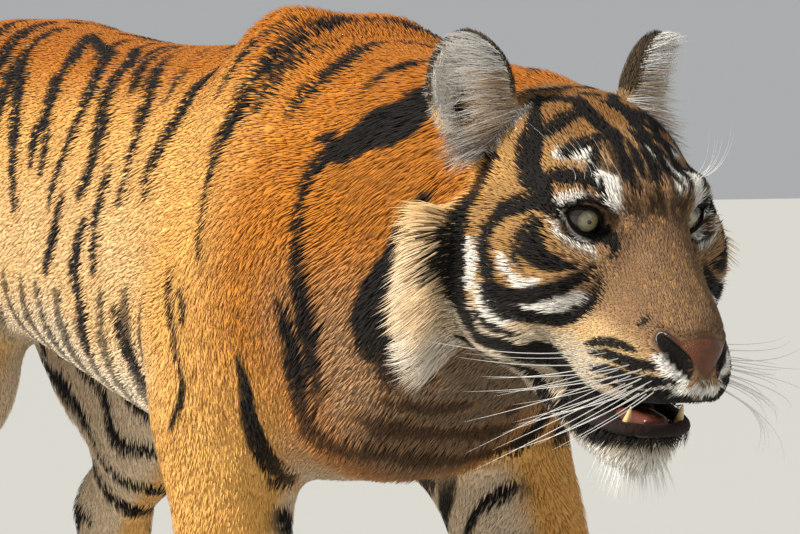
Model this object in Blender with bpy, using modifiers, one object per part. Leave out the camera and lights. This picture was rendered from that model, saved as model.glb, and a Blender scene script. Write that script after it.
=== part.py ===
# A walking Sumatran tiger, life size: metres, +X the way it walks, +Y its left side, floor at z = 0.
# The coat's outer shape is modelled whole from balls, limbs and lofted volumes, fused and smoothed,
# and then parted with thin cuts into the pieces a person would name.
import math

import bmesh
import bpy
from mathutils import Matrix, Vector

# ---------- driving sizes ----------
mm = 0.001
withersHeight = 0.652        # shoulder blades' inner ends
backHeight = 0.675           # spine between shoulders and croup
croupHeight = 0.697
chestDepth = 0.388           # spine to breastbone at the shoulders
chestHalf = 0.150            # half width of the rib cage with its coat
hipHalf = 0.132
neckHalf = 0.106
pawScale = 1.0               # fore paws; hind paws are a little smaller
hindPawScale = 0.93
eyeHalfGap = 46.0 * mm       # half the distance between the eyes' centres
eyeRadius = 18.0 * mm
gap = 0.3 * mm               # left between pieces that touch
voxel = 5.5 * mm             # grain at which the forms are fused
smoothRounds = 14
bodyTriangles = 2150
headTriangles = 1900
standCentre = (-0.0136, 0.0072)   # middle of the whole tiger, put at the origin

headAt = (0.850, 0.022, 0.533)    # point midway between the eyes
headYaw = 5.0                     # turned to its left
headPitch = 22.5                  # nose down
neckPlane = dict(at=(0.640, 0.015, 0.530), yaw=4.0, pitch=16.0)
shoulderPlane = dict(at=(0.515, 0.0, 0.500), yaw=0.0, pitch=-22.0)


def turned(yaw=0.0, pitch=0.0, roll=0.0):
    yawTurn = Matrix.Rotation(math.radians(yaw), 4, "Z")
    pitchTurn = Matrix.Rotation(math.radians(pitch), 4, "Y")
    rollTurn = Matrix.Rotation(math.radians(roll), 4, "X")
    return yawTurn @ pitchTurn @ rollTurn


headFrame = Matrix.Translation(headAt) @ turned(headYaw, headPitch)
world = Matrix.Identity(4)

# ---------- scene ----------
for old in list(bpy.data.objects):
    bpy.data.objects.remove(old, do_unlink=True)
tigerParts = bpy.data.collections.new("tiger")
helperParts = bpy.data.collections.new("cutters")
for collection in (tigerParts, helperParts):
    bpy.context.scene.collection.children.link(collection)


def newObject(name, mesh, collection):
    made = bpy.data.objects.new(name, mesh)
    collection.objects.link(made)
    return made


def asHelper(made):
    made.hide_render = True
    made.display_type = "WIRE"
    return made


def finish(name, colour, roughness=0.8, metallic=0.0):
    made = bpy.data.materials.new(name)
    made.use_nodes = True
    shader = made.node_tree.nodes["Principled BSDF"]
    shader.inputs["Base Color"].default_value = (*colour, 1.0)
    shader.inputs["Roughness"].default_value = roughness
    shader.inputs["Metallic"].default_value = metallic
    made.diffuse_color = (*colour, 1.0)
    return made


# ---------- forms: each adds closed faces to one bmesh ----------
def addBall(bm, frame, at, size, turn=(0, 0, 0), segments=32):
    place = frame @ Matrix.Translation(at) @ turned(*turn) @ Matrix.Diagonal((*size, 1.0))
    bmesh.ops.create_uvsphere(bm, u_segments=segments, v_segments=segments // 2, radius=1.0, matrix=place)


def smoothPath(points, steps=6):
    # Catmull-Rom through the points, each (x, y, z, radius)
    path = []
    last = len(points) - 1
    for i in range(last):
        before, after = points[max(i - 1, 0)], points[min(i + 2, last)]
        start, end = points[i], points[i + 1]
        for step in range(steps):
            t = step / steps
            path.append([0.5 * (2 * b + (c - a) * t + (2 * a - 5 * b + 4 * c - d) * t * t
                                + (3 * b - a - 3 * c + d) * t ** 3)
                         for a, b, c, d in zip(before, start, end, after)])
    path.append(list(points[-1]))
    return path


def addRings(bm, rings):
    # a closed skin through rings of equal count, capped at both ends
    loops = [[bm.verts.new(point) for point in ring] for ring in rings]
    count = len(loops[0])
    for first, second in zip(loops[:-1], loops[1:]):
        for i in range(count):
            j = (i + 1) % count
            bm.faces.new((first[i], first[j], second[j], second[i]))
    bm.faces.new(reversed(loops[0]))
    bm.faces.new(loops[-1])


def addLimb(bm, frame, points, flat=1.0, sides=20):
    # a tapering round limb with ball ends; flat scales it sideways
    path = smoothPath(points)
    squash = Matrix.Diagonal((1.0, flat, 1.0, 1.0))
    unsquash = Matrix.Diagonal((1.0, 1.0 / flat, 1.0, 1.0))
    centres = [unsquash @ Vector(p[:3]) for p in path]
    rings = []
    side = Vector((0.0, 1.0, 0.0))
    for i, centre in enumerate(centres):
        ahead = (centres[min(i + 1, len(centres) - 1)] - centres[max(i - 1, 0)]).normalized()
        side = (side - ahead * side.dot(ahead)).normalized()
        other = ahead.cross(side)
        angles = [2 * math.pi * k / sides for k in range(sides)]
        rings.append([frame @ squash @ (centre + (side * math.cos(a) + other * math.sin(a)) * path[i][3])
                      for a in angles])
    addRings(bm, rings)
    for end in (0, -1):
        size = (path[end][3], path[end][3] * flat, path[end][3])
        addBall(bm, frame, path[end][:3], size, segments=20)


def eased(x, xs, ys):
    # smooth curve through (xs, ys)
    slopes = [(b - a) / (d - c) for a, b, c, d in zip(ys, ys[1:], xs, xs[1:])]
    tangents = [slopes[0]] + [(a + b) / 2 for a, b in zip(slopes, slopes[1:])] + [slopes[-1]]
    i = max(k for k in range(len(xs) - 1) if xs[k] <= x or k == 0)
    width = xs[i + 1] - xs[i]
    t = (x - xs[i]) / width
    return ((2 * t**3 - 3 * t**2 + 1) * ys[i] + (t**3 - 2 * t**2 + t) * width * tangents[i]
            + (3 * t**2 - 2 * t**3) * ys[i + 1] + (t**3 - t**2) * width * tangents[i + 1])


def addLoft(bm, frame, sections, square=2.3, steps=5, sides=28):
    # sections: (x, top, bottom, half width, sideways); each is a rounded box, squarer as square grows
    xs = [s[0] for s in sections]
    columns = [[s[k] for s in sections] for k in range(1, 5)]
    rings = []
    for i in range((len(sections) - 1) * steps + 1):
        k = min(i // steps, len(sections) - 2)
        x = xs[k] + (xs[k + 1] - xs[k]) * (i / steps - k)
        top, bottom, half, sideways = (eased(x, xs, column) for column in columns)
        ring = []
        for j in range(sides):
            a = 2 * math.pi * j / sides
            c, s = math.cos(a), math.sin(a)
            y = sideways + half * math.copysign(abs(c) ** (2 / square), c)
            z = (top + bottom) / 2 + (top - bottom) / 2 * math.copysign(abs(s) ** (2 / square), s)
            ring.append(frame @ Vector((x, y, z)))
        rings.append(ring)
    addRings(bm, rings)


def inMm(rows):
    return [tuple(v * mm for v in row) for row in rows]


def between(start, end, share, shift=(0.0, 0.0, 0.0)):
    # the point a share of the way from start to end, moved by shift
    return tuple(start[k] * (1 - share) + end[k] * share + shift[k] for k in range(3))


def shifted(point, *by):
    return between(point, point, 0, by)


# ---------- body ----------
def addTrunk(bm):
    chestLow = backHeight - chestDepth
    addLoft(bm, world, [
        (-0.610, 0.600, 0.500, 0.040, 0.0),
        (-0.570, 0.640, 0.450, 0.080, 0.0),
        (-0.500, croupHeight - 0.017, 0.410, hipHalf - 0.014, 0.0),
        (-0.410, croupHeight, 0.392, hipHalf, 0.0),
        (-0.270, 0.690, 0.372, hipHalf - 0.004, 0.0),
        (-0.100, backHeight, 0.345, chestHalf - 0.010, 0.0),
        (0.060, backHeight - 0.003, chestLow + 0.031, chestHalf, 0.0),
        (0.200, backHeight, chestLow + 0.011, chestHalf, 0.0),
        (0.320, backHeight + 0.005, chestLow + 0.003, chestHalf - 0.010, 0.0),
        (0.430, backHeight, chestLow + 0.013, 0.126, 0.0),
        (0.520, 0.666, 0.335, 0.116, 0.003),
        (0.620, 0.656, 0.370, neckHalf, 0.010),
        (0.700, 0.645, 0.395, 0.096, 0.015),
        (0.790, 0.610, 0.430, 0.080, 0.020)])
    addBall(bm, world, (0.470, 0.0, 0.395), (0.085, 0.100, 0.085), (0, 20, 0))


def addFoot(bm, at, scale):
    # four toes fanned in front of a round pad
    addBall(bm, world, (at[0] + 0.006, at[1], 0.034), (0.050 * scale, 0.045 * scale, 0.038))
    for side in (-1, 1):
        for out, ahead, radius in ((0.034, 0.040, 0.0195), (0.0125, 0.052, 0.0210)):
            root = (at[0] + ahead * 0.30 * scale, at[1] + side * out * 0.80 * scale)
            tip = (at[0] + ahead * scale, at[1] + side * out * 1.05 * scale)
            addLimb(bm, world, [
                (*root, 0.050, 0.020 * scale),
                ((root[0] + tip[0]) / 2, (root[1] + tip[1]) / 2, 0.042, 0.0225 * scale),
                (*tip, 0.020, radius * scale * 1.1)], sides=14)


# joints of each leg; -1 is its right side and 1 its left. The left fore leg reaches forward.
foreLegs = {
    -1: dict(girth=1.0, blade=(0.335, -0.045, withersHeight), shoulder=(0.450, -0.090, 0.485),
             elbow=(0.325, -0.105, 0.345), wrist=(0.318, -0.086, 0.125), paw=(0.350, -0.082, 0.0)),
    1: dict(girth=1.10, blade=(0.345, 0.045, withersHeight - 0.013), shoulder=(0.490, 0.094, 0.480),
            elbow=(0.385, 0.118, 0.335), wrist=(0.560, 0.104, 0.150), paw=(0.620, 0.098, 0.0)),
}
hindLegs = {
    -1: dict(hip=(-0.415, -0.066, 0.530), knee=(-0.360, -0.105, 0.345),
             hock=(-0.625, -0.092, 0.225), paw=(-0.595, -0.085, 0.0)),
    1: dict(hip=(-0.415, 0.066, 0.530), knee=(-0.270, 0.105, 0.365),
            hock=(-0.430, 0.092, 0.195), paw=(-0.380, 0.085, 0.0)),
}


def addForeLeg(bm, side):
    leg = foreLegs[side]
    blade, shoulder, elbow, wrist, paw = (leg[k] for k in ("blade", "shoulder", "elbow", "wrist", "paw"))
    girth = leg["girth"]
    addLimb(bm, world, [(*blade, 0.048), (*between(blade, shoulder, 0.45, (0, side * 0.022, 0)), 0.062),
                        (*shoulder, 0.070)], 0.80)
    addLimb(bm, world, [(*shoulder, 0.072), (*between(shoulder, elbow, 0.5), 0.078),
                        (*elbow, 0.062 * girth)], 0.80)
    triceps = (blade[0] * 0.4 + elbow[0] * 0.6 - 0.02, side * 0.105, 0.430)
    addBall(bm, world, triceps, (0.070, 0.050, 0.100), (0, 14, 0))
    addLimb(bm, world, [(*elbow, 0.060 * girth), (*between(elbow, wrist, 0.30), 0.060 * girth),
                        (*between(elbow, wrist, 0.65), 0.050 * girth), (*wrist, 0.045)], 0.92)
    addLimb(bm, world, [(*wrist, 0.045), (*between(wrist, paw, 0.5, (0.004, 0, 0.004)), 0.041),
                        (paw[0], paw[1], 0.048, 0.042)], 1.05)
    addFoot(bm, paw, pawScale)


def addHindLeg(bm, side):
    leg = hindLegs[side]
    hip, knee, hock, paw = (leg[k] for k in ("hip", "knee", "hock", "paw"))
    addLimb(bm, world, [(*shifted(hip, 0.02, 0, 0.02), 0.110),
                        (*between(hip, knee, 0.5, (-0.02, 0, 0)), 0.106),
                        (*knee, 0.068)], 0.62)                       # front of the thigh
    addLimb(bm, world, [(*shifted(hip, -0.10, 0, -0.01), 0.070),
                        (*between(hip, hock, 0.5, (-0.015, 0, -0.01)), 0.068),
                        (*between(knee, hock, 0.5, (-0.02, 0, 0)), 0.050)], 0.70)   # back of the thigh
    addLimb(bm, world, [(*knee, 0.072), (*between(knee, hock, 0.40), 0.062),
                        (*between(knee, hock, 0.75), 0.043), (*hock, 0.038)], 0.82)
    addBall(bm, world, shifted(hock, -0.016, 0, 0.012), (0.030, 0.022, 0.034), (0, 20, 0))
    addLimb(bm, world, [(*hock, 0.038), (*between(hock, paw, 0.5), 0.035),
                        (paw[0], paw[1], 0.044, 0.037)], 0.98)
    addFoot(bm, paw, hindPawScale)


tailPath = [(-0.550, 0.000, 0.625, 0.048), (-0.635, 0.000, 0.585, 0.040), (-0.710, 0.000, 0.490, 0.034),
            (-0.760, 0.005, 0.370, 0.031), (-0.800, 0.015, 0.260, 0.029), (-0.860, 0.030, 0.195, 0.0275),
            (-0.930, 0.045, 0.192, 0.024), (-0.965, 0.050, 0.210, 0.015)]


# ---------- head, in its own frame: X towards the nose, origin midway between the eyes ----------
def addHead(bm):
    def ball(at, size, turn=(0, 0, 0), pair=False):
        for side in ((-1, 1) if pair else (1,)):
            addBall(bm, headFrame, (at[0] * mm, side * at[1] * mm, at[2] * mm), [v * mm for v in size],
                    (side * turn[0], turn[1], side * turn[2]))

    ball((-88, 0, 2), (86, 78, 66), (0, 2, 0))                       # skull
    ball((-28, 0, -2), (62, 64, 50), (0, 20, 0))                     # forehead
    addLoft(bm, headFrame, inMm([(-40, 50, -40, 40, 0), (5, 37, -60, 34, 0), (43, 16, -80, 31, 0),
                                 (76, -5, -90, 30, 0), (105, -21, -90, 28, 0), (121, -32, -86, 22, 0),
                                 (130, -45, -80, 12, 0)]), 2.6)       # bridge of the nose
    addLoft(bm, headFrame, inMm([(-60, -20, -125, 62, 0), (-20, -28, -138, 65, 0), (15, -38, -140, 59, 0),
                                 (49, -46, -133, 51, 0), (82, -54, -119, 46, 0), (107, -60, -107, 40, 0),
                                 (122, -64, -101, 30, 0), (131, -72, -93, 14, 0)]), 2.3)   # upper jaw
    ball((90, 24, -84), (37, 23, 24), (-10, 20, 0), True)            # whisker pads
    ball((-34, 52, -32), (54, 37, 42), (18, 10, 0), True)            # cheek bones
    ball((-66, 62, -78), (66, 46, 64), (10, 20, 0), True)            # chewing muscles
    ball((-110, 98, -104), (55, 38, 88), (38, 18, -6), True)         # ruff
    for side in (-1, 1):                                             # brows
        addLimb(bm, headFrame, inMm([(14, side * 20, 25, 12), (2, side * 43, 26, 13),
                                     (-22, side * 61, 14, 12)]))
    addLimb(bm, headFrame, inMm([(-75, 0, -120, 50), (-5, 0, -146, 38), (42, 0, -157, 31),
                                 (65, 0, -157, 28)]), 1.22)          # lower jaw and chin


def meshFrom(name, *builders):
    bm = bmesh.new()
    for build in builders:
        build(bm)
    bmesh.ops.recalc_face_normals(bm, faces=bm.faces)
    mesh = bpy.data.meshes.new(name)
    bm.to_mesh(mesh)
    bm.free()
    return mesh


def applied(made):
    # the object with its modifiers made real
    graph = bpy.context.evaluated_depsgraph_get()
    graph.update()
    mesh = bpy.data.meshes.new_from_object(made.evaluated_get(graph))
    made.modifiers.clear()
    made.data = mesh
    return made


def modifier(made, kind, **values):
    added = made.modifiers.new(kind.title(), kind)
    for key, value in values.items():
        setattr(added, key, value)
    return added


def cut(made, cutter):
    modifier(made, "BOOLEAN", operation="DIFFERENCE", object=cutter, solver="EXACT")
    return applied(made)


def helper(name, *builders):
    return asHelper(newObject(name, meshFrom(name, *builders), helperParts))


def fusedFlesh():
    flesh = newObject("flesh", meshFrom(
        "flesh", addTrunk, addHead,
        lambda bm: addForeLeg(bm, -1), lambda bm: addForeLeg(bm, 1),
        lambda bm: addHindLeg(bm, -1), lambda bm: addHindLeg(bm, 1),
        lambda bm: addLimb(bm, world, tailPath)), helperParts)
    modifier(flesh, "REMESH", mode="VOXEL", voxel_size=voxel, adaptivity=0.0)
    modifier(flesh, "SMOOTH", factor=0.5, iterations=smoothRounds)
    return asHelper(applied(flesh))


def simplified(made, triangles):
    have = sum(len(face.vertices) - 2 for face in made.data.polygons)
    modifier(made, "DECIMATE", ratio=triangles / have, use_collapse_triangulate=True)
    return applied(made)


def addBox(bm, frame, at, size, turn=(0, 0, 0), grow=0.0):
    grown = [v + 2 * grow for v in size]
    bmesh.ops.create_cube(bm, size=1.0, matrix=frame @ Matrix.Translation(at) @ turned(*turn)
                          @ Matrix.Diagonal((*grown, 1.0)))


def addMouth(bm):
    addLoft(bm, headFrame, inMm([(40, -140, -142, 20, 0), (60, -129, -141, 50, 0), (85, -116, -138, 62, 0),
                                 (115, -102, -131, 66, 0), (150, -86, -122, 66, 0)]), 3.0, steps=2, sides=16)


def addEyeHollows(bm):
    for side in (-1, 1):
        addBall(bm, headFrame, (13 * mm, side * 46 * mm, 2 * mm), (17 * mm, 18 * mm, 13 * mm),
                (side * 30, 0, 0), segments=14)


def eyeCentre(side):
    return (-14.0 * mm, side * eyeHalfGap, 0.0)


def addEyes(bm, sides=(-1, 1), grow=0.0):
    for side in sides:
        size = eyeRadius + grow
        addBall(bm, headFrame, eyeCentre(side), (size, size, size), segments=18)


def largestBody(made):
    # drops the crumbs that a cut leaves
    bm = bmesh.new()
    bm.from_mesh(made.data)
    bm.faces.ensure_lookup_table()
    seen = set()
    bodies = []
    for start in bm.faces:
        if start in seen:
            continue
        seen.add(start)
        body = [start]
        for face in body:
            for edge in face.edges:
                for other in edge.link_faces:
                    if other not in seen:
                        seen.add(other)
                        body.append(other)
        bodies.append(body)
    bodies.sort(key=lambda body: -sum(f.calc_area() for f in body))
    spare = [face for body in bodies[1:] for face in body]
    bmesh.ops.delete(bm, geom=spare, context="FACES")
    bm.to_mesh(made.data)
    bm.free()
    return made


def carve(stock, name, frame, at, size, turn=(0, 0, 0)):
    # takes the part of the stock inside a box into an object of its own, with the gap round it
    taken = newObject(name, stock.data.copy(), tigerParts)
    box = helper("box_" + name, lambda bm: addBox(bm, frame, at, size, turn))
    modifier(taken, "BOOLEAN", operation="INTERSECT", object=box, solver="EXACT")
    largestBody(applied(taken))
    grown = helper("room_" + name, lambda bm: addBox(bm, frame, at, size, turn, gap))
    cut(stock, grown)
    return taken


def grownCopy(made):
    # a copy of a part that stands out by the gap on every side, for cutting its neighbours
    copy = asHelper(newObject("room_" + made.name, made.data.copy(), helperParts))
    modifier(copy, "DISPLACE", strength=gap, mid_level=0.0)
    return applied(copy)


def pitchOf(start, end):
    # pitch that lays a box's Z along start to end
    return math.degrees(math.atan2(end[0] - start[0], end[2] - start[2]))


def partLegs(stock):
    for side, word in ((-1, "right"), (1, "left")):
        fore = foreLegs[side]
        hind = hindLegs[side]
        for paw, name in ((fore["paw"], "forepaw_"), (hind["paw"], "hindpaw_")):
            carve(stock, name + word, world, (paw[0] + 0.010, paw[1], 0.025), (0.220, 0.150, 0.110))
        # forearm: a box laid along wrist to elbow, ending below the elbow
        top = between(fore["wrist"], fore["elbow"], 0.72)
        middle = between(top, fore["paw"], 0.5)
        lean = pitchOf(fore["wrist"], fore["elbow"])
        carve(stock, "forearm_" + word, world, middle,
              (0.230, 0.170, math.dist(top, fore["paw"])), (0, lean, 0))
        # shank: from under the knee over the hock to the paw
        knee, hock = hind["knee"], hind["hock"]
        cutAt = between(knee, hock, 0.42)
        slope = math.degrees(math.atan2(hock[2] - knee[2], knee[0] - hock[0]))
        frame = Matrix.Translation(cutAt) @ turned(0, slope)
        carve(stock, "shank_" + word, frame, (-0.150, 0.0, -0.070), (0.300, 0.160, 0.290))


def partUpperLegs(stock):
    for side, word in ((-1, "right"), (1, "left")):
        shoulder, elbow = foreLegs[side]["shoulder"], foreLegs[side]["elbow"]
        middle = between(shoulder, elbow, 0.5)
        carve(stock, "shoulder_" + word, world, (middle[0] - 0.010, side * 0.165, middle[2] + 0.015),
              (0.270, 0.240, 0.360), (0, 0, side * 4))
        hip, knee = hindLegs[side]["hip"], hindLegs[side]["knee"]
        middle = between(hip, knee, 0.5)
        # the thigh's box reaches close to the middle, so that the trunk keeps none of the leg
        carve(stock, "thigh_" + word, world, (middle[0] - 0.020, side * 0.134, middle[2] - 0.030),
              (0.380, 0.240, 0.380), (0, 0, side * 4))


def partTail(stock):
    carve(stock, "tail_tip", world, (-0.930, 0.030, 0.190), (0.200, 0.200, 0.200))
    carve(stock, "tail_middle", world, (-0.786, 0.010, 0.320), (0.208, 0.200, 0.260))
    carve(stock, "tail_base", world, (-0.725, 0.000, 0.555), (0.230, 0.200, 0.250))


def planeFrame(plane):
    return Matrix.Translation(plane["at"]) @ turned(plane["yaw"], plane["pitch"])


neckFrame = planeFrame(neckPlane)
headBox = ((0.250, 0, 0), (0.500, 0.500, 0.500))


def partHead(stock):
    jawFrame = headFrame @ Matrix.Translation((46 * mm, 0, -141.5 * mm)) @ turned(0, -16.7)
    jaw = carve(stock, "lower_jaw", jawFrame, (-20 * mm, 0, -40 * mm), (180 * mm, 140 * mm, 80 * mm))
    carve(stock, "nose", headFrame, (130 * mm, 0, -55 * mm), (20 * mm, 70 * mm, 44 * mm))
    skull = carve(stock, "head", neckFrame, *headBox)
    return skull, jaw


def addEar(skull, side, word):
    # a cup on an oval shell: X is the way the cup opens, Z points to the tip
    place = (headFrame @ Matrix.Translation((-139 * mm, side * 74 * mm, 17 * mm))
             @ turned(side * 36) @ turned(0, -6) @ turned(0, 0, -side * 20))
    ear = newObject("ear_" + word, meshFrom("ear", lambda bm: addBall(
        bm, place, (0, 0, 34 * mm), (20 * mm, 38 * mm, 50 * mm), segments=20)), tigerParts)
    cut(ear, helper("cup_" + word, lambda bm: addBall(
        bm, place, (15 * mm, 0, 34 * mm), (20 * mm, 30 * mm, 41 * mm), segments=20)))
    cut(ear, grownCopy(skull))
    largestBody(ear)


def addMouthPieces(jaw, skull):
    room = grownCopy(jaw)
    above = grownCopy(skull)
    tongue = newObject("tongue", meshFrom("tongue", lambda bm: addBall(
        bm, headFrame, (72 * mm, 0, -132 * mm), (28 * mm, 17 * mm, 7 * mm), (0, -18, 0),
        segments=14)), tigerParts)
    pieces = [tongue]
    for side, word in ((-1, "right"), (1, "left")):
        place = headFrame @ Matrix.Translation((79 * mm, side * 24 * mm, -135 * mm)) @ turned(0, 8)
        pieces.append(newObject("canine_" + word, meshFrom("canine", lambda bm: bmesh.ops.create_cone(
            bm, segments=12, radius1=5.0 * mm, radius2=1.2 * mm, depth=26 * mm, cap_ends=True, matrix=place)),
            tigerParts))
    for piece in pieces:
        cut(piece, room)
        cut(piece, above)
        largestBody(piece)


def dress():
    coat = finish("coat_orange", (0.55, 0.25, 0.06))
    pale = finish("coat_cream", (0.75, 0.66, 0.52))
    iris = finish("eye_glass", (0.42, 0.40, 0.16), 0.08)
    leather = finish("nose_leather", (0.36, 0.14, 0.09), 0.5)
    flesh = finish("tongue_flesh", (0.55, 0.20, 0.18), 0.4)
    ivory = finish("tooth_ivory", (0.80, 0.70, 0.48), 0.35)
    special = {"eye": iris, "nose": leather, "tongue": flesh, "canine": ivory, "lower": pale}
    for made in tigerParts.objects:
        made.data.materials.clear()
        made.data.materials.append(special.get(made.name.split("_")[0], coat))
        made.location = (-standCentre[0], -standCentre[1], 0.0)


body = fusedFlesh()
face = asHelper(newObject("face", body.data.copy(), helperParts))
simplified(body, bodyTriangles)
cut(body, helper("head_room", lambda bm: addBox(bm, neckFrame, *headBox, grow=gap)))
cut(body, helper("ground", lambda bm: addBox(bm, world, (0, 0, -0.5), (4.0, 2.0, 1.0))))
partLegs(body)
partTail(body)
carve(body, "neck", planeFrame(shoulderPlane), (0.150, 0, 0), (0.300, 0.300, 0.420))
partUpperLegs(body)
trunk = newObject("trunk", body.data.copy(), tigerParts)
largestBody(trunk)

# the head is thinned apart from the body, so that it keeps finer faces
behind = helper("body_room", lambda bm: addBox(bm, neckFrame, (-1.030, 0, 0), (2.000, 1.500, 2.000)))
cut(face, behind)
largestBody(face)
simplified(face, headTriangles)
cut(face, helper("mouth", addMouth))
cut(face, helper("eye_hollows", addEyeHollows))
cut(face, helper("eye_rooms", lambda bm: addEyes(bm, grow=gap)))
headPart, jawPart = partHead(face)
for eyeSide, eyeWord in ((-1, "right"), (1, "left")):
    addEar(headPart, eyeSide, eyeWord)
    newObject("eye_" + eyeWord, meshFrom("eye", lambda bm: addEyes(bm, (eyeSide,))), tigerParts)
addMouthPieces(jawPart, headPart)
dress()
print(len(tigerParts.objects), "parts")
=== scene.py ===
# Life-size walking tiger: skin, coat, eyes, nose, mouth, claws and studio.
# Metres, +X the way it walks, +Y its left side, +Z up. Body parts are described in millimetres where small.
import math

import bpy
import numpy as np
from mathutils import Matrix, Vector


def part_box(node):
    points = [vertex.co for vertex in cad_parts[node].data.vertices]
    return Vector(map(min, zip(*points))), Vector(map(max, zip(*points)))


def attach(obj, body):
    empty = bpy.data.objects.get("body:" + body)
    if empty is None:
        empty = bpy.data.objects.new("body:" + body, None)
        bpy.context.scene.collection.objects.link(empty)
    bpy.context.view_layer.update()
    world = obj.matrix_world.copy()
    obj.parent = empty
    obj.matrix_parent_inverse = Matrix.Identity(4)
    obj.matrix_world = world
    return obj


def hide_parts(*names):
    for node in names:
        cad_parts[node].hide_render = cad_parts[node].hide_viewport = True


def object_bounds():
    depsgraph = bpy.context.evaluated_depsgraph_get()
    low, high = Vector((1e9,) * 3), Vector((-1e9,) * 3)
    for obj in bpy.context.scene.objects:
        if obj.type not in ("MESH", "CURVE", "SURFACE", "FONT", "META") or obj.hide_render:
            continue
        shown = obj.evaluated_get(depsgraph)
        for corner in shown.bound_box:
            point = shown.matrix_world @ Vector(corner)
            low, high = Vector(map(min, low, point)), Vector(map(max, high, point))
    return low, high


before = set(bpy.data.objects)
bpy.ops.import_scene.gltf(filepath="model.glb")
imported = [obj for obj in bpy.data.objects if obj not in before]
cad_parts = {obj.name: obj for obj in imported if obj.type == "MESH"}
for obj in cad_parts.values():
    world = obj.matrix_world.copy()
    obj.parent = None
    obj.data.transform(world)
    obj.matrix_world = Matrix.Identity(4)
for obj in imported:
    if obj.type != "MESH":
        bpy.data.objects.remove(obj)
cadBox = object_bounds()
mm = 0.001
dice = np.random.default_rng(7)
sides = (("right", -1), ("left", 1))
cube = [(i, j, k) for i in (0, 1) for j in (0, 1) for k in (0, 1)]


# helpers
def rotation(yaw=0.0, pitch=0.0, roll=0.0):
    # columns are the turned axes: yaw to the left, pitch drops the nose, roll tips to the right
    (cy, sy), (cp, sp), (cr, sr) = ((math.cos(math.radians(a)), math.sin(math.radians(a)))
                                    for a in (yaw, pitch, roll))
    aroundZ = np.array([[cy, -sy, 0], [sy, cy, 0], [0, 0, 1]])
    aroundY = np.array([[cp, 0, sp], [0, 1, 0], [-sp, 0, cp]])
    aroundX = np.array([[1, 0, 0], [0, cr, -sr], [0, sr, cr]])
    return aroundZ @ aroundY @ aroundX


def middleOf(node):
    low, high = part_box(node)
    return (np.array(low) + np.array(high)) / 2


def unit(v):
    return v / np.maximum(np.linalg.norm(v, axis=-1, keepdims=True), 1e-9)


def ramp(x, low, high):
    t = np.clip((x - low) / (high - low), 0, 1)
    return t * t * (3 - 2 * t)


def noise(p, size, seed=0):
    # smooth value noise from 0 to 1, one lump about every size
    q = p / size + seed * 17.3
    base = np.floor(q).astype(np.int64)
    part = q - base
    part = part * part * (3 - 2 * part)
    total = np.zeros(len(p))
    for corner in range(8):
        step = np.array([corner & 1, corner >> 1 & 1, corner >> 2 & 1])
        cell = base + step
        stirred = cell[:, 0] * 73856093 ^ cell[:, 1] * 19349663 ^ cell[:, 2] * 83492791
        stirred = (stirred ^ (stirred >> 13)) * 1274126177
        value = ((stirred ^ (stirred >> 16)) & 65535) / 65535
        total += value * np.prod(np.where(step, part, 1 - part), axis=1)
    return total


def inScene(name, data):
    thing = bpy.data.objects.new(name, data)
    bpy.context.scene.collection.objects.link(thing)
    return thing


def newMaterial(name, sockets):
    material = bpy.data.materials.new(name)
    material.use_nodes = True
    shader = material.node_tree.nodes["Principled BSDF"]
    for socket, value in sockets.items():
        shader.inputs[socket].default_value = value
    return material


# where the head is
headPose = dict(yaw=5.0, pitch=22.5, eyeBack=14 * mm)
headAxes = rotation(headPose["yaw"], headPose["pitch"])
headAt = (middleOf("eye_right") + middleOf("eye_left")) / 2 + headAxes @ (headPose["eyeBack"], 0, 0)
planHead = np.array((0.850, 0.022, 0.533))      # the same point in the walking plan's own numbers
stand = headAt - planHead                       # the plan's origin in the shared frame


def inHead(p):
    return (p - headAt) @ headAxes


def fromHead(q):
    return np.asarray(q, float) @ headAxes.T + headAt


def folded(q):
    # both sides of the head laid on its left one
    return np.stack([q[:, 0], np.abs(q[:, 1]), q[:, 2]], 1)


# camera, floor and light
shot = dict(azimuth=65.0, elevation=2.5, lens=230.0, sensor=36.0, distance=4.0, furthest=100.0,
            eyesRight=0.2975, eyesUp=0.0569)


def aim(thing, way):
    thing.rotation_mode = "QUATERNION"
    thing.rotation_quaternion = way.to_track_quat("-Z", "Y")


def studioCamera():
    # eyesRight and eyesUp place the eyes from the frame's middle, as shares of its width
    a, e = math.radians(shot["azimuth"]), math.radians(shot["elevation"])
    back = Vector((math.sin(a) * math.cos(e), -math.cos(a) * math.cos(e), math.sin(e)))
    right = Vector((math.cos(a), math.sin(a), 0))
    up = right.cross(-back)
    lens = bpy.data.cameras.new("camera")
    lens.lens = shot["lens"]
    lens.sensor_width = shot["sensor"]
    lens.clip_end = shot["furthest"]
    camera = inScene("camera", lens)
    across = shot["distance"] * shot["sensor"] / shot["lens"]
    camera.location = (Vector(headAt) + back * shot["distance"]
                       - right * across * shot["eyesRight"] - up * across * shot["eyesUp"])
    aim(camera, -back)
    bpy.context.scene.camera = camera


studio = dict(floorSize=30.0, floorColour=(0.52, 0.52, 0.50), floorRoughness=0.85,
              skyColour=(0.88, 0.90, 0.92), sky=0.46,
              sun=5.6, sunSoftness=8.0, sunTilt=(58.0, 0.0, -10.0), sunColour=(1.0, 0.95, 0.86),
              fill=12.0, fillAt=(3.2, 1.6, 1.6), fillSize=2.2)


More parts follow.
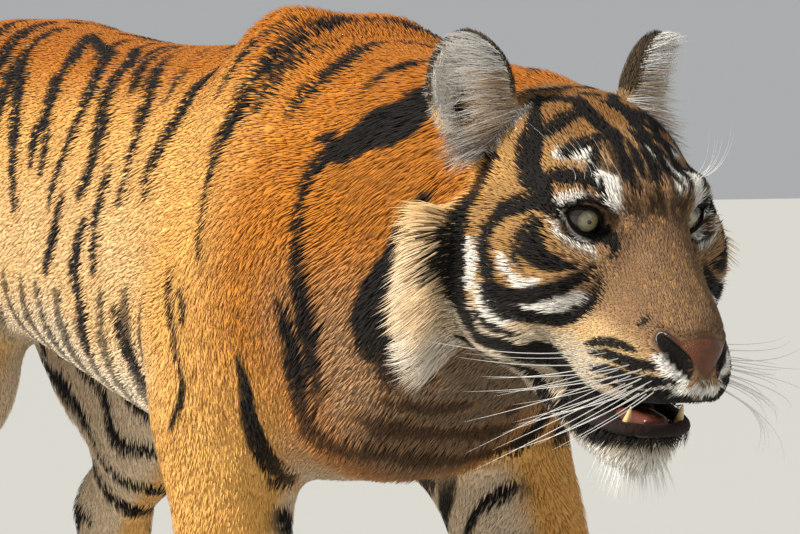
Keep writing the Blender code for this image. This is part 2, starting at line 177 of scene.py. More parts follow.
def studioLights():
    world = bpy.data.worlds.new("studio")
    bpy.context.scene.world = world
    world.use_nodes = True
    sky = world.node_tree.nodes["Background"]
    sky.inputs["Color"].default_value = (*studio["skyColour"], 1)
    sky.inputs["Strength"].default_value = studio["sky"]
    sun = bpy.data.lights.new("sun", "SUN")
    sun.energy = studio["sun"]
    sun.angle = math.radians(studio["sunSoftness"])
    sun.color = studio["sunColour"]
    inScene("sun", sun).rotation_euler = [math.radians(v) for v in studio["sunTilt"]]
    fill = bpy.data.lights.new("fill", "AREA")
    fill.energy = studio["fill"]
    fill.size = studio["fillSize"]
    soft = inScene("fill", fill)
    soft.location = studio["fillAt"]
    aim(soft, Vector(headAt) - soft.location)
    bpy.context.scene.view_settings.view_transform = "Standard"


def studioFloor():
    half = studio["floorSize"] / 2
    mesh = bpy.data.meshes.new("floor")
    corners = [(x * half, y * half, 0) for x, y in ((-1, -1), (1, -1), (1, 1), (-1, 1))]
    mesh.from_pydata(corners, [], [(0, 1, 2, 3)])
    mesh.materials.append(newMaterial("floor paint", {"Base Color": (*studio["floorColour"], 1),
                                                      "Roughness": studio["floorRoughness"]}))
    inScene("floor", mesh)


studioCamera()
studioLights()
studioFloor()
print("studio ready")


# forms: distances to balls, limbs and lofted volumes
def ball(at, size, turn=(0, 0, 0), blend=0.03, part="back", pair=False, cut=False):
    return dict(kind="ball", at=np.array(at, float), size=np.array(size, float), turn=rotation(*turn),
                blend=blend, part=part, pair=pair, cut=cut)


def limb(points, flat=1.0, blend=0.03, part="back", pair=False, cut=False, steps=6):
    return dict(kind="limb", path=smoothPath(np.array(points, float), steps), flat=flat, blend=blend,
                part=part, pair=pair, cut=cut)


def loft(sections, blend=0.03, part="back", cut=False, square=2.3):
    return dict(kind="loft", sections=np.array(sections, float), blend=blend, part=part, pair=False, cut=cut,
                square=square)


def smoothPath(points, steps):
    # a smooth line through the points, with this many steps from each to the next
    path = []
    last = len(points) - 1
    for i in range(last):
        before, start, end, after = points[max(i - 1, 0)], points[i], points[i + 1], points[min(i + 2, last)]
        for step in range(steps):
            t = step / steps
            path.append(0.5 * (2 * start + (end - before) * t
                               + (2 * before - 5 * start + 4 * end - after) * t * t
                               + (3 * start - before - 3 * end + after) * t ** 3))
    path.append(points[-1])
    return np.array(path)


def eased(x, xs, ys):
    # the height at x of a smooth line through the points xs, ys
    slopes = np.diff(ys) / np.diff(xs)
    tangents = np.concatenate([slopes[:1], (slopes[1:] + slopes[:-1]) / 2, slopes[-1:]])
    i = np.clip(np.searchsorted(xs, x) - 1, 0, len(xs) - 2)
    wide = xs[i + 1] - xs[i]
    t = np.clip((x - xs[i]) / wide, 0, 1)
    return ((2 * t**3 - 3 * t**2 + 1) * ys[i] + (t**3 - 2 * t**2 + t) * wide * tangents[i]
            + (3 * t**2 - 2 * t**3) * ys[i + 1] + (t**3 - t**2) * wide * tangents[i + 1])


def ballDistance(p, form, inset):
    q = (p - form["at"]) @ form["turn"]
    size = form["size"] - inset
    near = np.sqrt(((q / size) ** 2).sum(1))
    return near * (near - 1) / (np.sqrt(((q / size**2) ** 2).sum(1)) + 1e-9)


def limbDistance(p, form, inset):
    squash = np.array([1, 1 / form["flat"], 1])
    q = p * squash
    best = np.full(len(p), 1e9)
    for a, b in zip(form["path"][:-1], form["path"][1:]):
        start = a[:3] * squash
        ahead = b[:3] * squash - start
        t = np.clip(((q - start) @ ahead) / (ahead @ ahead), 0, 1)
        off = q - start - t[:, None] * ahead
        best = np.minimum(best, np.sqrt((off * off).sum(1)) - (a[3] + (b[3] - a[3]) * t - inset))
    return best * min(1.0, form["flat"])


def loftDistance(p, form, inset):
    s = form["sections"]
    x = p[:, 0]
    top, low, wide, side = (eased(x, s[:, 0], s[:, k]) for k in (1, 2, 3, 4))
    top, low = top - inset, low + inset
    wide = np.maximum(wide - inset, mm)
    high = np.maximum((top - low) / 2, mm)
    ay = np.abs((p[:, 1] - side) / wide) + 1e-9
    az = np.abs((p[:, 2] - (top + low) / 2) / high) + 1e-9
    n = form["square"]
    rho = (ay**n + az**n) ** (1 / n)
    slope = np.sqrt(((ay / rho) ** (n - 1) / wide) ** 2 + ((az / rho) ** (n - 1) / high) ** 2)
    d = np.maximum((rho - 1) / slope, -np.minimum(wide, high))
    over = np.maximum(s[0, 0] + inset - x, x - (s[-1, 0] - inset))
    return np.where(over > 0, np.sqrt(np.maximum(d, 0) ** 2 + over**2), np.maximum(d, over))


distanceTo = {"ball": ballDistance, "limb": limbDistance, "loft": loftDistance}


def smoothMin(a, b, k):
    h = np.maximum(k - np.abs(a - b), 0) / k
    return np.minimum(a, b) - h * h * k * 0.25


def reachOf(form):
    if form["kind"] == "ball":
        reach = np.sqrt((form["turn"] ** 2) @ (form["size"] ** 2))
        low, high = form["at"] - reach, form["at"] + reach
    elif form["kind"] == "limb":
        radius = form["path"][:, 3:4] * np.array([1, form["flat"], 1])
        low, high = (form["path"][:, :3] - radius).min(0), (form["path"][:, :3] + radius).max(0)
    else:
        s = form["sections"]
        low = np.array([s[0, 0], (s[:, 4] - s[:, 3]).min(), s[:, 2].min()])
        high = np.array([s[-1, 0], (s[:, 4] + s[:, 3]).max(), s[:, 1].max()])
    if form["pair"]:
        wide = max(abs(low[1]), abs(high[1]))
        low[1], high[1] = -wide, wide
    return low, high


def boxRound(low, high, origin, axes):
    # the shared frame's box round a box that lies in a frame of its own
    corners = np.array([[(low, high)[c][k] for k, c in enumerate(corner)] for corner in cube])
    corners = corners @ axes.T + origin
    return corners.min(0), corners.max(0)


class Sculpture:
    # forms fused by smooth joins; each form lies in a frame of its own and stands in by its part's coat depth
    def __init__(self, depths=None):
        self.items = []
        self.depths = depths or {}

    def add(self, forms, origin, axes=np.eye(3)):
        for form in forms:
            low, high = reachOf(form)
            pad = 0.02 + form["blend"]
            box = boxRound(low - pad, high + pad, origin, axes)
            self.items.append((form, np.asarray(origin, float), axes, *box))
        return self

    def distance(self, item, p):
        form, origin, axes = item[:3]
        q = (p - origin) @ axes
        if form["pair"]:
            q[:, 1] = np.abs(q[:, 1])
        inset = 0.0 if form["cut"] else self.depths.get(form["part"], 0.0)
        return distanceTo[form["kind"]](q, form, inset)

    def join(self, old, item, p):
        d = self.distance(item, p)
        form = item[0]
        return -smoothMin(-old, d, form["blend"]) if form["cut"] else smoothMin(old, d, form["blend"])

    def field(self, p):
        out = np.full(len(p), 0.5)
        for item in self.items:
            inside = np.flatnonzero(((p > item[3]) & (p < item[4])).all(1))
            if len(inside):
                out[inside] = self.join(out[inside], item, p[inside])
        return out

    def gradient(self, p, step=0.8 * mm):
        slope = np.zeros_like(p)
        for k in range(3):
            e = np.zeros(3)
            e[k] = step
            slope[:, k] = (self.field(p + e) - self.field(p - e)) / (2 * step)
        return slope

    def settle(self, p, rounds=1, most=4 * mm):
        # moves points on to the surface
        for _ in range(rounds):
            slope = self.gradient(p)
            step = slope * (self.field(p) / np.maximum((slope * slope).sum(1), 0.05))[:, None]
            length = np.linalg.norm(step, axis=1, keepdims=True)
            p = p - step * np.minimum(1, most / np.maximum(length, 1e-9))
        return p

    def surface(self, xs, ys, zs):
        volume = np.full((len(xs), len(ys), len(zs)), 0.5, np.float32)
        for item in self.items:
            r = [slice(*np.searchsorted(a, (item[3][k], item[4][k]))) for k, a in enumerate((xs, ys, zs))]
            if any(s.stop <= s.start for s in r):
                continue
            grid = np.meshgrid(xs[r[0]], ys[r[1]], zs[r[2]], indexing="ij")
            p = np.stack([g.ravel() for g in grid], 1)
            old = volume[r[0], r[1], r[2]]
            volume[r[0], r[1], r[2]] = self.join(old.ravel().astype(float), item, p).reshape(old.shape)
        return surfaceNets(volume, xs, ys, zs)


def surfaceNets(volume, xs, ys, zs):
    # one point in each cell that the surface crosses, and one quad for each crossed grid edge
    inside = volume < 0
    cells = [n - 1 for n in volume.shape]
    total = np.zeros(cells, np.uint8)
    for i, j, k in cube:
        total += inside[i:i + cells[0], j:j + cells[1], k:k + cells[2]]
    crossed = np.flatnonzero((total > 0) & (total < 8))
    at = np.unravel_index(crossed, total.shape)
    value = {c: volume[at[0] + c[0], at[1] + c[1], at[2] + c[2]].astype(float) for c in cube}
    ends = [(a[at[k]], a[at[k] + 1]) for k, a in enumerate((xs, ys, zs))]
    summed, count = np.zeros((len(crossed), 3)), np.zeros(len(crossed))
    for axis in range(3):
        for first in (c for c in cube if not c[axis]):
            a, b = value[first], value[tuple(c + (k == axis) for k, c in enumerate(first))]
            hit = (a < 0) != (b < 0)
            t = np.where(hit, a / np.where(hit, a - b, 1), 0)
            point = np.stack([ends[k][first[k]] for k in range(3)], 1)
            point[:, axis] += t * (ends[axis][1] - ends[axis][0])
            summed[hit] += point[hit]
            count[hit] += 1
    quads = []
    for axis in range(3):
        u, v = (k for k in range(3) if k != axis)
        where = np.array(np.nonzero(np.diff(inside, axis=axis)))
        fits = [(where[k] > 0) & (where[k] < total.shape[k]) for k in (u, v)]
        where = where[:, fits[0] & fits[1]]
        quad = []
        for du, dv in ((1, 1), (0, 1), (0, 0), (1, 0)):
            cell = where.copy()
            cell[u] -= du
            cell[v] -= dv
            quad.append(np.searchsorted(crossed, np.ravel_multi_index(tuple(cell), total.shape)))
        quad = np.stack(quad, 1)
        leaving = inside[tuple(where)] == (axis == 1)
        quad[leaving] = quad[leaving][:, ::-1]
        quads.append(quad)
    return summed / count[:, None], np.concatenate(quads)


# the coat, part by part, in mm: inset is how far the skin lies under the hair's tips; rise is how much
# of it the tips fill; rings is how often a tuft bends; lie is where its tips point
coats = {
    "back":    dict(inset=3.6, spacing=3.4, length=17, width=1.45, rise=0.62, rings=1, lie=(-1.0, 0, -0.35)),
    "neck":    dict(inset=5, spacing=2.9, length=24, width=1.45, rise=0.66, rings=1, lie=(-1.0, 0, -0.65)),
    "breast":  dict(inset=8, spacing=3.2, length=28, width=1.6, rise=0.66, rings=1, lie=(-0.8, 0, -0.9)),
    "foreleg": dict(inset=3, spacing=3.15, length=13, width=1.35, rise=0.62, rings=1, lie=(-0.25, 0, -1.0)),
    "thigh":   dict(inset=3.6, spacing=3.5, length=17, width=1.5, rise=0.64, rings=1, lie=(-0.45, 0, -1.0)),
    "shank":   dict(inset=3, spacing=3.5, length=13, width=1.4, rise=0.6, rings=1, lie=(-0.35, 0, -1.0)),
    "paw":     dict(inset=2.2, spacing=3.0, length=9, width=1.3, rise=0.6, rings=1, lie=(0.8, 0, -0.6)),
    "tail":    dict(inset=7, spacing=3.3, length=19, width=1.7, rise=0.7, rings=1, lie="tail"),
    "skull":   dict(inset=5, spacing=1.7, length=10, width=0.95, rise=0.42, rings=1, lie="fromNose"),
    "bridge":  dict(inset=3, spacing=1.4, length=6.0, width=0.80, rise=0.30, rings=1, lie="fromNose"),
    "muzzle":  dict(inset=3, spacing=1.5, length=6.8, width=0.84, rise=0.32, rings=1, lie="fromNose"),
    "cheek":   dict(inset=6, spacing=1.8, length=15, width=1.0, rise=0.5, rings=1, lie="cheek"),
    "ruff":    dict(inset=22, spacing=2.3, length=44, width=1.5, rise=0.7, rings=2, lie="ruff"),
    "jaw":     dict(inset=6, spacing=2.0, length=16, width=1.05, rise=0.8, rings=2, lie="jaw"),
    "ear":     dict(inset=3, spacing=1.8, length=7, width=0.9, rise=0.5, rings=1, lie="ear"),
}
parts = list(coats)
headParts = ("skull", "bridge", "muzzle", "cheek", "ruff", "jaw", "ear")


def inMm(rows):
    return [tuple(v * mm for v in row) for row in rows]


def lump(at, size, turn, blend, part, pair=False, cut=False):
    return ball(*inMm((at, size)), turn, blend, part, pair, cut)


# the body's forms, in the walking plan's metres
withers = 0.652


def trunkForms():
    # mm along, top, bottom, half width and how far to the left
    back = [(-610, 600, 500, 40, 0), (-570, 640, 450, 80, 0), (-500, 680, 410, 118, 0),
            (-410, 697, 392, 132, 0), (-270, 690, 372, 128, 0), (-100, 675, 345, 140, 0),
            (60, 672, 318, 150, 0), (200, 675, 298, 150, 0), (320, 680, 290, 140, 0),
            (430, 675, 300, 126, 0), (520, 666, 335, 116, 3), (620, 656, 370, 106, 10),
            (700, 645, 395, 96, 15), (790, 610, 430, 80, 20)]
    return [loft(inMm(back), 0.02), lump((470, 0, 395), (85, 100, 85), (0, 20, 0), 0.05, "breast")]


foreLegs = {
    -1: dict(girth=1.0, blade=(0.335, -0.045, withers), shoulder=(0.450, -0.090, 0.485),
             elbow=(0.325, -0.105, 0.345), wrist=(0.318, -0.086, 0.125), paw=(0.350, -0.082, 0)),
    1: dict(girth=1.10, blade=(0.345, 0.045, withers - 0.013), shoulder=(0.490, 0.094, 0.480),
            elbow=(0.385, 0.118, 0.335), wrist=(0.560, 0.104, 0.150), paw=(0.620, 0.098, 0)),
}
hindLegs = {
    -1: dict(hip=(-0.415, -0.066, 0.530), knee=(-0.360, -0.105, 0.345),
             hock=(-0.625, -0.092, 0.225), paw=(-0.595, -0.085, 0)),
    1: dict(hip=(-0.415, 0.066, 0.530), knee=(-0.270, 0.105, 0.365),
            hock=(-0.430, 0.092, 0.195), paw=(-0.380, 0.085, 0)),
}
hindPaw = 0.93      # a hind paw's size beside a forepaw's
tailPath = np.array([(-550, 0, 625, 48), (-635, 0, 585, 40), (-710, 0, 490, 34),
                     (-760, 5, 370, 31), (-800, 15, 260, 29), (-860, 30, 195, 27.5),
                     (-930, 45, 192, 24), (-965, 50, 210, 15)]) * mm


def between(start, end, share, shift=(0, 0, 0)):
    return np.array(start) * (1 - share) + np.array(end) * share + np.array(shift)


toes = ((0.034, 0.040, 0.0185), (0.0125, 0.052, 0.0200))      # out from the paw's middle, ahead of it, radius
toeHeight = 0.022


def toeRadius(radius, scale):
    return radius * scale * 1.1


def toePlace(paw, side, out, ahead, scale):
    # where a toe's tip lies in the plan
    return paw[0] + ahead * scale, paw[1] + side * out * 1.05 * scale


def pawForms(paw, scale):
    forms = [ball((paw[0] + 0.006, paw[1], 0.036), (0.050 * scale, 0.045 * scale, 0.038),
                  blend=0.02, part="paw")]
    for side in (-1, 1):
        for out, ahead, radius in toes:
            root = (paw[0] + ahead * 0.30 * scale, paw[1] + side * out * 0.80 * scale)
            tip = toePlace(paw, side, out, ahead, scale)
            forms.append(limb([(*root, 0.050, 0.020 * scale),
                               ((root[0] + tip[0]) / 2, (root[1] + tip[1]) / 2, 0.042, 0.0225 * scale),
                               (*tip, toeHeight, toeRadius(radius, scale))], 1.0, 0.008, "paw", steps=3))
    return forms


def foreLegForms(side):
    leg = foreLegs[side]
    blade, shoulder, elbow, wrist, paw = (leg[k] for k in ("blade", "shoulder", "elbow", "wrist", "paw"))
    girth = leg["girth"]
    triceps = (blade[0] * 0.4 + elbow[0] * 0.6 - 0.02, side * 0.105, 0.430)
    return [
        limb([(*blade, 0.048), (*between(blade, shoulder, 0.45, (0, side * 0.022, 0)), 0.062),
              (*shoulder, 0.070)], 0.80, 0.06, "back"),
        limb([(*shoulder, 0.072), (*between(shoulder, elbow, 0.5), 0.078), (*elbow, 0.062 * girth)],
             0.80, 0.05, "foreleg"),
        ball(triceps, (0.070, 0.050, 0.100), (0, 14, 0), 0.06, "back"),
        limb([(*elbow, 0.060 * girth), (*between(elbow, wrist, 0.30), 0.060 * girth),
              (*between(elbow, wrist, 0.65), 0.050 * girth), (*wrist, 0.045)], 0.92, 0.03, "foreleg"),
        limb([(*wrist, 0.045), (*between(wrist, paw, 0.5, (0.004, 0, 0.004)), 0.041),
              (paw[0], paw[1], 0.048, 0.042)], 1.05, 0.02, "foreleg")] + pawForms(paw, 1.0)


def hindLegForms(side):
    hip, knee, hock, paw = (hindLegs[side][k] for k in ("hip", "knee", "hock", "paw"))
    return [
        limb([(*between(hip, hip, 0, (0.02, 0, 0.02)), 0.110),
              (*between(hip, knee, 0.5, (-0.02, 0, 0)), 0.106), (*knee, 0.068)], 0.62, 0.05, "thigh"),
        limb([(*between(hip, hip, 0, (-0.10, 0, -0.01)), 0.070),
              (*between(hip, hock, 0.5, (-0.015, 0, -0.01)), 0.068),
              (*between(knee, hock, 0.5, (-0.02, 0, 0)), 0.050)], 0.70, 0.06, "thigh"),
        limb([(*knee, 0.072), (*between(knee, hock, 0.40), 0.062), (*between(knee, hock, 0.75), 0.043),
              (*hock, 0.038)], 0.82, 0.03, "shank"),
        ball(between(hock, hock, 0, (-0.016, 0, 0.012)), (0.030, 0.022, 0.034), (0, 20, 0), 0.03, "shank"),
        limb([(*hock, 0.038), (*between(hock, paw, 0.5), 0.035), (paw[0], paw[1], 0.044, 0.037)],
             0.98, 0.02, "shank")] + pawForms(paw, hindPaw)


# the head's forms, in mm in the head's own frame: X to the nose, origin between the eyes
mouthSections = [(40, -140, -142, 20, 0), (60, -129, -141, 50, 0), (85, -116, -138, 62, 0),
                 (115, -102, -131, 66, 0), (150, -86, -122, 66, 0)]
nostril = dict(soft=2.5 * mm, path=[(106, 30.5, -49, 3.0), (113, 29, -52, 5.2), (121, 24.5, -57, 6.6),
                                   (128, 18.5, -63, 6.6), (132, 14, -69, 3.4)])


def nostrilDistance(q):
    return limbDistance(folded(q), limb(inMm(nostril["path"]), steps=4), 0.0)


def mouthDistance(q):
    return loftDistance(q, loft(inMm(mouthSections), square=3.0), 0.0)


def headForms():
    return [
        lump((-88, 0, 2), (86, 78, 66), (0, 2, 0), 0.03, "skull"),
        lump((-28, 0, -2), (62, 64, 50), (0, 20, 0), 0.03, "skull"),
        loft(inMm([(-40, 50, -40, 40, 0), (5, 37, -60, 34, 0), (43, 16, -80, 31, 0), (76, -5, -90, 30, 0),
                   (103, -21, -90, 27, 0), (117, -32, -86, 20, 0), (126, -45, -80, 11, 0)]),
             0.024, "bridge", square=2.6),
        loft(inMm([(-60, -20, -125, 62, 0), (-20, -28, -138, 65, 0), (15, -38, -140, 59, 0),
                   (49, -46, -133, 51, 0), (82, -54, -119, 46, 0), (105, -60, -107, 38, 0),
                   (118, -64, -101, 28, 0), (127, -72, -93, 13, 0)]), 0.045, "muzzle"),
        lump((88, 24, -84), (35, 22, 24), (-10, 20, 0), 0.012, "muzzle", True),
        lump((-34, 52, -32), (54, 37, 42), (18, 10, 0), 0.05, "cheek", True),
        lump((-66, 62, -78), (66, 46, 64), (10, 20, 0), 0.045, "cheek", True),
        limb(inMm([(14, 20, 25, 12), (2, 43, 26, 13), (-22, 61, 14, 12)]), 1.0, 0.02, "skull", True),
        lump((-110, 98, -104), (55, 38, 88), (38, 18, -6), 0.03, "ruff", True),
        lump((12, 50, 2), (18, 22, 14), (30, 0, 0), 0.012, "skull", True, True),
        limb(inMm([(-75, 0, -120, 50), (-5, 0, -146, 38), (42, 0, -157, 31), (65, 0, -157, 28)]),
             1.22, 0.010, "jaw"),
        loft(inMm(mouthSections), 0.004, "jaw", cut=True, square=3.0),
        limb(inMm([(30, 41, -146, 11), (52, 38, -144, 11.5), (72, 33.5, -141, 11.5), (86, 25, -138, 11.5),
                   (94, 12, -136, 11.5), (96, 0, -135, 11.5)]), 1.0, 0.008, "jaw", True),
        lump((-14, 46, 0), (19.6, 19.6, 19.6), (0, 0, 0), 0.003, "skull", True, True),
        limb(inMm(nostril["path"]), 1.0, 0.003, "muzzle", True, True, steps=4)]


earPlace = dict(at=(-139, 74, 17), out=36, back=6, tip=20)
earForm = dict(middle=(0, 0, 34), size=(20, 38, 50), cupAt=(15, 0, 34), cupSize=(20, 30, 41))


def earAxes(side):
    # X is the way the cup opens, Z points to the tip
    turn = rotation(side * earPlace["out"]) @ rotation(0, -earPlace["back"])
    return headAxes @ (turn @ rotation(0, 0, -side * earPlace["tip"]))


def earRoot(side):
    return fromHead(np.array(earPlace["at"]) * (1, side, 1) * mm)


def tigerForms(depths):
    whole = Sculpture(depths)
    whole.add(trunkForms(), stand)
    whole.add([limb(tailPath, 1.0, 0.03, "tail", steps=5)], stand)
    for side in (-1, 1):
        whole.add(foreLegForms(side), stand)
        whole.add(hindLegForms(side), stand)
    whole.add(headForms(), headAt, headAxes)
    for side in (-1, 1):
        whole.add([lump(earForm["middle"], earForm["size"], (0, 0, 0), 0.014, "ear"),
                   lump(earForm["cupAt"], earForm["cupSize"], (0, 0, 0), 0.006, "ear", cut=True)],
                  earRoot(side), earAxes(side))
    return whole


tiger = tigerForms({part: coat["inset"] * mm for part, coat in coats.items()})


def graded(low, fineFrom, fineTo, high):
    # grid planes, finer from fineFrom to fineTo
    coarse = grain["coarse"]
    before = np.arange(low, fineFrom, coarse)
    before = before[before < fineFrom - 0.3 * coarse]
    within, after = np.arange(fineFrom, fineTo, grain["head"]), np.arange(fineTo, high + coarse, coarse)
    return np.concatenate([before, within, after])


grain = dict(coarse=8.4 * mm, head=4.2 * mm, margin=20 * mm, sole=2.0 * mm,
             behind=(-200, -120, -200), ahead=(140, 120, 140))      # mm of fine grid round the eyes' middle


def skinSurface():
    low, high = np.array(cadBox[0]) - grain["margin"], np.array(cadBox[1]) + grain["margin"]
    fineFrom, fineTo = headAt + np.array(grain["behind"]) * mm, headAt + np.array(grain["ahead"]) * mm
    points, quads = tiger.surface(*(graded(*ends) for ends in zip(low, fineFrom, fineTo, high)))
    points = tiger.settle(points)
    points[:, 2] = np.maximum(points[:, 2], grain["sole"])     # flat soles, just inside the paws' solids
    return points, quads


skinPoints, skinQuads = skinSurface()
print("skin", len(skinPoints), "points")


# which part of the body a point belongs to
def partShares(p):
    # the coat's parts weighed by how near each part's forms lie; the trunk's loft runs on into the neck
    near = np.full((len(p), len(parts)), 0.5)
    for item in tiger.items:
        if item[0]["cut"]:
            continue
        inside = np.flatnonzero(((p > item[3]) & (p < item[4])).all(1))
        if len(inside):
            k = parts.index(item[0]["part"])
            near[inside, k] = np.minimum(near[inside, k], tiger.distance(item, p[inside]))
    neck = ramp((p - stand)[:, 0], 0.50, 0.58)
    weight = np.exp(-(near - near.min(1, keepdims=True)) / (7 * mm))
    k, n = parts.index("back"), parts.index("neck")
    weight[:, n] += weight[:, k] * neck
    weight[:, k] *= 1 - neck
    return weight / weight.sum(1, keepdims=True)


def shareOf(shares, *names):
    return sum(shares[:, parts.index(name)] for name in names)


# markings; in the strokes y is measured outwards on both sides
coatColours = dict(
    orange=(0.56, 0.20, 0.02), deep=(0.44, 0.135, 0.012), gold=(0.90, 0.50, 0.14), tan=(0.90, 0.61, 0.30),
    cream=(0.88, 0.73, 0.54), white=(0.86, 0.82, 0.75), black=(0.01, 0.008, 0.007),
    dark=(0.085, 0.048, 0.026), brown=(0.27, 0.155, 0.085), fawn=(0.44, 0.26, 0.135),
    # the colour named shade is painted shade, laid on the throat and breast where the head's shadow falls
    honey=(0.60, 0.33, 0.115), umber=(0.40, 0.185, 0.055), shade=(0.20, 0.14, 0.085),
    # the last colour is near black: the black of the lip roll together with painted shade inside the mouth
    lip=(0.016, 0.012, 0.011), lipAndMouthShade=(0.022, 0.009, 0.008))


def tone(colour):
    # a colour by its name above, or as three numbers
    return np.array(coatColours[colour] if isinstance(colour, str) else colour)


def mixed(base, colour, amount):
    base = tone(base)
    return base + (tone(colour) - base) * amount[:, None]


# half width and point in mm in the head's frame; named right or left where one side alone has the stroke
faceBlack = {
    "temple band": [(2, -125, 34, 58), (3, -108, 41, 58), (5, -90, 54, 51), (9, -72, 66, 40),
                    (9.5, -60, 73, 29), (8, -44, 78, 21), (8, -24, 81, 17), (5, -10, 79, 10),
                    (3, -2, 75, 9)],
    "temple branch": [(7, -22, 82, 14), (8, -30, 90, 2), (7, -40, 98, -10), (7, -42, 104, -24),
                      (7, -34, 108, -42), (5, -26, 109, -54)],
    "first brow bar": [(4, -74, 22, 64), (6, -71, 28, 62), (6.5, -69, 42, 56), (7, -67, 52, 50)],
    "second brow bar": [(6, -39, 52, 45), (6, -37, 40, 51), (5, -35, 28, 57), (3, -33, 20, 59)],
    "third brow bar": [(7.5, -27, 69, 31), (8.5, -22, 64, 34), (5, -6, 59, 36), (2.5, 3, 58, 31),
                       (1.5, 12, 57, 24)],
    "inner brow line": [(3, -24, 34, 50), (4.5, -14, 43, 45), (4.5, -3, 53, 38), (2.5, 6, 53, 35),
                        (2, 14, 51, 31)],
    "brow streak": [(1.4, -24, 6, 57), (3.4, -6, 7, 52), (1.6, 12, 8, 44)],
    "outer brow streak": [(1.4, -8, 14, 50), (3.2, 6, 18, 44), (1.4, 24, 23, 35)],
    "left middle streak": [(1.4, -14, 1, 55), (3, 4, 2, 49), (1.4, 20, 1, 41)],
    "right inner spot": [(1.2, 5, 43, 42), (2.4, 14, 47, 34), (1.4, 19, 45, 22)],
    "forehead line": [(5, -84, 16, 66), (7, -74, 20, 66), (6, -58, 18, 65), (6, -42, 16, 62),
                      (5, -28, 15, 59), (3.5, -14, 17, 52), (2.5, 0, 21, 46), (1.5, 18, 27, 39)],
    "crown bar": [(3, -146, 36, 50), (4, -134, 25, 57), (4.5, -122, 14, 63), (3.5, -124, 0, 64)],
    "second crown bar": [(3, -116, 42, 57), (4, -107, 33, 61), (4.5, -96, 24, 65), (4, -84, 16, 66)],
    "third crown bar": [(3, -158, 10, 48), (4, -160, 26, 44), (3, -164, 42, 36)],
    "fourth crown bar": [(3, -98, 8, 67), (3.5, -96, 0, 68)],
    "left crown arc": [(4, -78, 6, 67), (5, -68, 17, 65), (5, -54, 30, 59), (3, -42, 38, 54)],
    "left brow arc": [(3, -36, 2, 60), (5, -28, 7, 59), (5, -20, 18, 54), (3, -12, 28, 50)],
    "left brow edge": [(3, -96, 48, 57), (5, -72, 46, 56), (5, -50, 41, 54), (4, -18, 37, 46),
                       (3, 6, 33, 42), (1.5, 22, 31, 34)],
    "cheek band": [(7, -97, 78, 10), (9, -92, 92, -2), (9, -86, 106, -16), (9, -76, 115, -30),
                   (11, -66, 121, -50), (12, -58, 121, -72), (10, -48, 117, -96), (9, -36, 108, -116),
                   (5, -20, 99, -124)],
    "eye curve": [(5, -8, 88, -2), (8, -3, 89, -14), (8.5, 6, 86, -22), (7, 14, 80, -27), (4, 24, 69, -29),
                  (1.5, 30, 61, -27)],
    "eye fold": [(2, -14, 92, -18), (3, -8, 94, -30), (2, 0, 90, -38)],
    "first cheek line": [(6, -24, 109, -50), (6, -14, 104, -61), (5, 3, 94, -62), (5, 15, 84, -56),
                         (5, 25, 71, -49), (4, 32, 58, -36), (1.5, 33, 50, -24)],
    "second cheek line": [(5, -20, 107, -66), (5.5, -8, 101, -74), (6, 3, 91, -75), (5, 14, 80, -76),
                          (4.5, 25, 67, -74), (5, 36, 56, -60), (3.5, 39, 50, -44), (1, 38, 48, -32)],
    "lower cheek line": [(4, -30, 106, -92), (4, -14, 100, -96), (3, 4, 88, -96)],
    "eye corner": [(5, -2, 40, -4), (6, 12, 35, -6), (5, 24, 33, -8), (3.5, 33, 36, -10),
                   (1.5, 37, 41, -16)],
    "outer eye corner": [(4, -6, 77, 8), (4, 2, 70, 6)],
    "upper lid line": [(2.5, -6, 74, 10), (2.5, 6, 64, 15), (3, 14, 52, 15), (2.5, 16, 42, 10)],
    "ruff's edge": [(4, -66, 96, -146), (6, -48, 88, -146), (8, -30, 74, -144), (8, -14, 56, -152),
                    (7, 6, 46, -156)],
    "jaw line": [(4, -44, 106, -110), (6, -33, 99, -114), (7, -19, 94, -114), (9, -8, 86, -115),
                 (10, 4, 70, -119)],
    # the broad band behind the corner of the mouth is the black lip together with painted shade under the
    # whisker pad
    "mouth corner": [(6, 8, 68, -103), (11, 16, 60, -114), (13, 22, 51, -127), (13, 30, 50, -139),
                     (10, 46, 49, -148)],
    "thin ruff line": [(2, -176, 88, -44), (3.5, -182, 91, -62), (3.5, -189, 94, -84), (3, -191, 95, -112)],
    "first whisker row": [(1.6, 46, 53, -84), (3.2, 59, 51, -76), (3.4, 77, 49, -67), (2.4, 93, 45, -63),
                          (1.2, 101, 42, -64)],
    "second whisker row": [(2.2, 52, 52, -88), (4.2, 76, 51, -79), (4.2, 102, 46, -73), (2, 119, 36, -68)],
    "third whisker row": [(2.4, 56, 51, -101), (4.8, 78, 50, -94), (5, 107, 45, -85), (3.6, 122, 32, -78),
                          (2, 128, 20, -76)],
    "fourth whisker row": [(2.4, 58, 48, -112), (4, 84, 46, -105), (4.2, 110, 40, -95), (3, 125, 24, -86)],
    "front lip row": [(1.6, 126, 22, -95), (2.6, 132, 13, -90), (1.4, 134, 6, -86)],
    "cheek spot": [(2.6, 87, 37, -46), (2.6, 91, 33, -41)],
}
